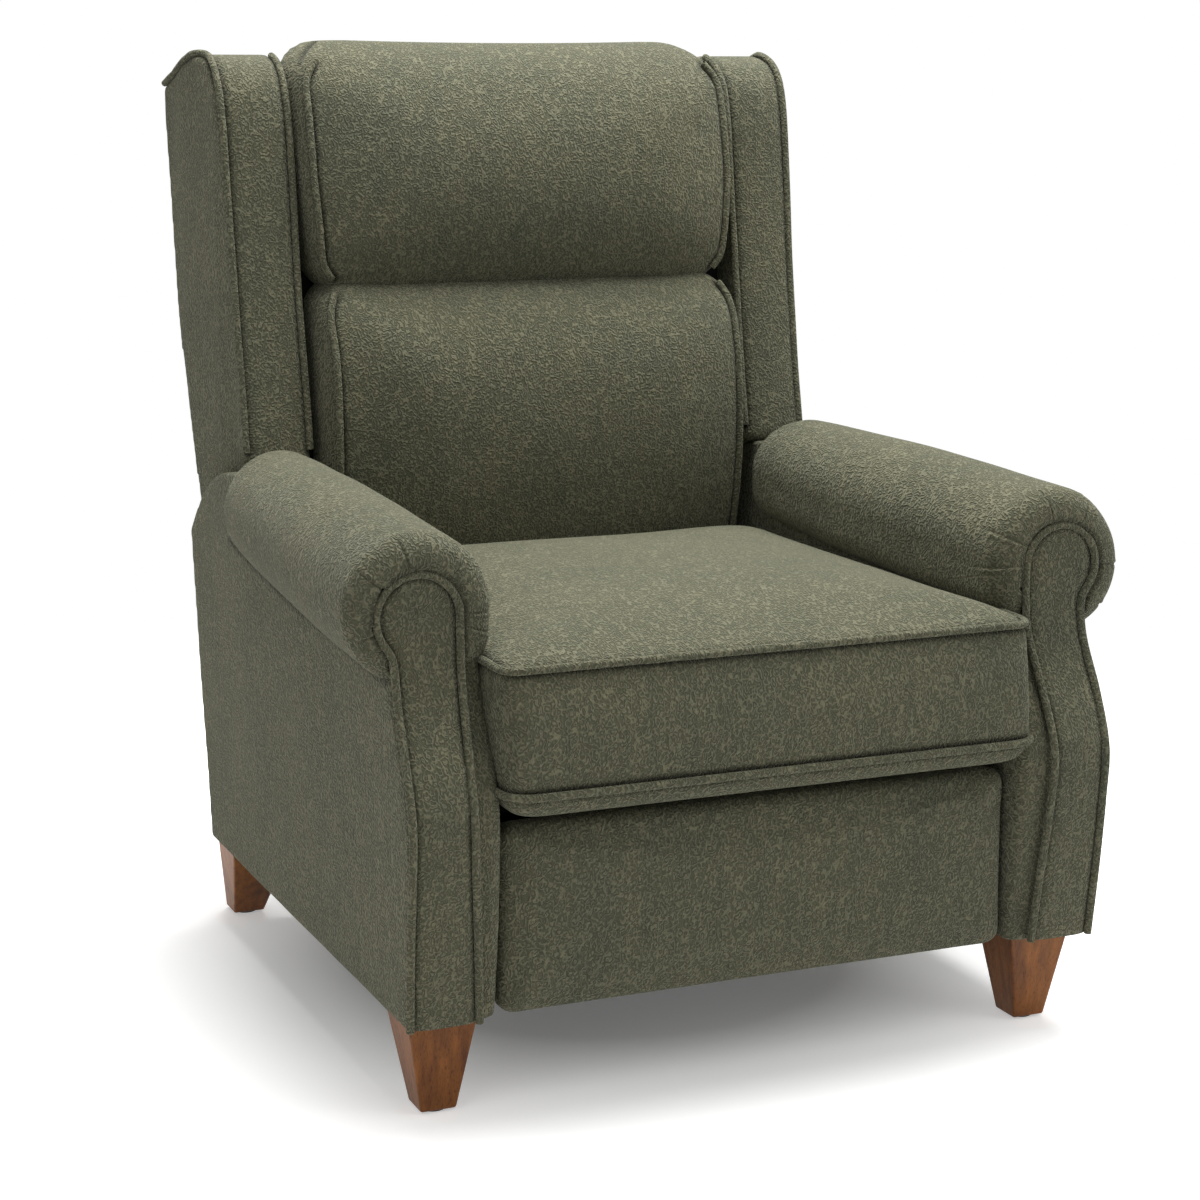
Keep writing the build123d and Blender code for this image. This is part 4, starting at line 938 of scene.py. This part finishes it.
right_wing = moved(stuffed("right_wing_cover", wing_skin(), 0.004, 6), settle_wing)
outer_seam = [(0.3815, y, z) for y, z in wing_front[1:-1]]
outer_seam += [(0.39, 0.38, 1.0995), (0.395, 0.44, 1.084), (0.397, 0.492, 1.066)]
inner_seam = [(0.2985, y, z) for y, z in wing_front[1:-1]]
right_wing_piping = piping("right_wing_piping", [outer_seam, inner_seam], thin_cord, skin_tree(right_wing), 0.55)
# Painted shade along both seams of the wing, where the cover is drawn in.
seamed(right_wing, [even_line(outer_seam, stitch), even_line(inner_seam, stitch)])
for piece in (right_wing, mirrored(right_wing, "left_wing_cover")):
    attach(piece, "back")
    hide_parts(piece.name.split("_")[0] + "_wing")
for piece in (right_wing_piping, mirrored(right_wing_piping, "left_wing_piping")):
    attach(piece, "back")


# The outside back and the rear panel: chenille pulled over thin padding on boards.
# The outside back turns over the top behind the headrest, and a flap of chenille hangs from its lower edge
# to the rear panel, so that the gap stays closed when the back reclines.
def outside_back_skin():
    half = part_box("outside_back")[1].x
    line = [(0.3548, 0.39), (0.372, 0.503), (0.46, 0.8), (0.492, 1.062), (0.45, 1.069), (0.362, 1.077),
            (0.362, 1.061), (0.472, 1.044), (0.441, 0.8), (0.354, 0.503), (0.3368, 0.39)]
    rings = []
    for across in (-1, -0.985, -0.95, -0.7, -0.35, 0, 0.35, 0.7, 0.95, 0.985, 1):
        out = 0.004 * (1 - abs(across) ** 3)
        rings.append([(across * half, y + (out if k in (1, 2) else 0), z) for k, (y, z) in enumerate(line)])
    return shell(rings)


def rear_panel_skin():
    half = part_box("rear_panel")[1].x
    line = [(0.318, 0.1125), (0.3505, 0.3255), (0.3475, 0.3295), (0.337, 0.3295), (0.333, 0.325), (0.3005, 0.1125)]
    return shell([[(across * half, y, z) for y, z in line] for across in np.linspace(-1, 1, 9)])


rear_cover = stuffed("outside_back_cover", outside_back_skin(), 0.005, 4)
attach(rear_cover, "back")
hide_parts("outside_back")
rear_panel_cover = stuffed("rear_panel_cover", rear_panel_skin(), 0.005, 3)
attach(rear_panel_cover, "base")
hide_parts("rear_panel")
flap_line = even_line([(0, 0.346, 0.392), (0, 0.35, 0.362), (0, 0.3528, 0.336), (0, 0.3512, 0.312)], stitch)
flap_rows = []
for drop, (_, y, z) in zip(np.linspace(0, 1, len(flap_line)), flap_line):
    half = 0.2955 + 0.013 * min(1, 3 * drop)
    flap_rows.append([(x, y, z) for x in np.linspace(-half, half, 41)])
flap = thin_cloth("rear_flap", flap_rows, (0, -0.0012, 0), chenille)
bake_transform(flap)


# The footrest: a padded board with rounded edges, hung on the linkage under the seat.
# Its cover is pulled round the board and stapled behind, so it has no seam in front.
def footrest_rings():
    rings = []
    for inset, y in ((0.06, -0.412), (0.012, -0.412), (0.002, -0.414), (0.0, -0.418), (0.0, -0.434),
                     (0.001, -0.441), (0.0035, -0.4455), (0.008, -0.448), (0.018, -0.4494), (0.05, -0.4505),
                     (0.075, -0.451)):
        corner = max(0.006, 0.014 - inset * 0.2)
        ring = rounded_ring(0.3025 - inset, 0.1085 + inset, 0.313 - inset, corner)
        rings.append([(x, y, z) for x, z in ring])
    return rings


footrest = stuffed("footrest_cover", shell(footrest_rings()), 0.005, 2)
plumped(footrest, lambda spots: np.clip((spots[:, 1] + 0.442) / 0.006, 0, 1), 3.0, 0.004)
smooth_faces(footrest)
paint(chenille, "footrest_board")
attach(footrest, "footrest")
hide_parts("footrest_pad")


# The switch: a moulded bezel let into the inner side of the left roll, with a row of push buttons.
# Both are textured plastic, the bezel black and the buttons dark grey.
key_plastic = Finish("key_plastic", {"Specular IOR Level": 0.45})
key_grain = key_plastic.cloud(key_plastic.place(), 1200.0, 1.0)
key_plastic.wear(
    key_plastic.tint(key_plastic.cloud(key_plastic.place(), 60.0), (0.09, 0.09, 0.092), (0.14, 0.14, 0.143)),
    0.42 + 0.15 * key_grain, key_grain, 0.0001,
)
paint(housing, "switch_bezel")
paint(key_plastic, "footrest_out_button", "footrest_in_button", "back_recline_button", "back_raise_button")


# The stage: a white floor under soft overhead light, with weak lamps to fill the front and sides.
# The camera stands where the photograph was taken.
def seen(nodes):
    """1 where a camera, glossy or transmission ray arrives, 0 for the light that the scene scatters."""
    rays = [nodes.add("ShaderNodeLightPath", {}, {}, "Is " + kind + " Ray")
            for kind in ("Camera", "Glossy", "Transmission")]
    return rays[0] + rays[1] + rays[2]


floor_paper = Finish("floor_paper", {
    "Base Color": (0.86, 0.86, 0.86, 1), "Specular IOR Level": 0.1, "Roughness": 0.9, "Emission Strength": 0.8,
})
away = floor_paper.add("ShaderNodeVectorMath", {"operation": "LENGTH"}, {0: floor_paper.place()}, "Value")
# The floor glows for camera, glossy and transmission rays, weakly under the chair and more further from it: painted
# light that lightens the floor's shadow more the further it lies from the chair.
painted_floor_light = seen(floor_paper) * (0.13 + 0.87 * away.clamped(0.3, 0.85))
floor_paper.join(floor_paper.tint(painted_floor_light, (0, 0, 0), (1, 1, 1)), floor_paper.shader.inputs["Emission Color"])
floor_paper.join(1 - away.clamped(1.1, 2.2), floor_paper.shader.inputs["Alpha"])
floor = new_piece("floor", [(-3, -3, 0), (3, -3, 0), (3, 3, 0), (-3, 3, 0)], [(0, 1, 2, 3)], floor_paper)

world = bpy.data.worlds.new("studio")
bpy.context.scene.world = world
world.use_nodes = True
sky = Nodes(world.node_tree)
glow = sky.tree.nodes["Background"]
glow.inputs["Color"].default_value = (1, 0.99, 0.95, 1)
glow.inputs["Strength"].default_value = 0.33
white = sky.add("ShaderNodeBackground", {}, {"Color": (1, 1, 1, 1), "Strength": 1.0})
backdrop = sky.add("ShaderNodeMixShader", {}, {"Fac": seen(sky), 1: Shade(sky, glow.outputs[0]), 2: white})
sky.join(backdrop, sky.tree.nodes["World Output"].inputs["Surface"])


def softbox(name, spot, aim, size, power):
    light = bpy.data.lights.new(name, "AREA")
    light.shape = "DISK"
    light.size = size
    light.energy = power
    lamp = bpy.data.objects.new(name, light)
    lamp.location = spot
    lamp.rotation_euler = (Vector(aim) - Vector(spot)).to_track_quat("-Z", "Y").to_euler()
    bpy.context.scene.collection.objects.link(lamp)


softbox("overhead", (0.4, 0.25, 3.4), (0, 0, 0.4), 2.6, 170)
softbox("left_fill", (-2.6, -2.2, 2.0), (0, 0, 0.5), 2.0, 12)
softbox("front_fill", (0.5, -1.6, 2.3), (0, 0.2, 0.8), 1.4, 6)
softbox("right_fill", (2.4, -2.8, 1.7), (0, 0, 0.5), 2.0, 15)

camera = bpy.data.cameras.new("camera")
camera.sensor_width = 36.0
camera.lens = 78.84
viewer = bpy.data.objects.new("camera", camera)
viewer.location = (-1.2334, -2.8861, 1.0729)
viewer.rotation_euler = (math.radians(90 - 11.2606), 0, math.radians(-23.1266))
bpy.context.scene.collection.objects.link(viewer)
bpy.context.scene.camera = viewer
bpy.context.scene.view_settings.view_transform = "Standard"
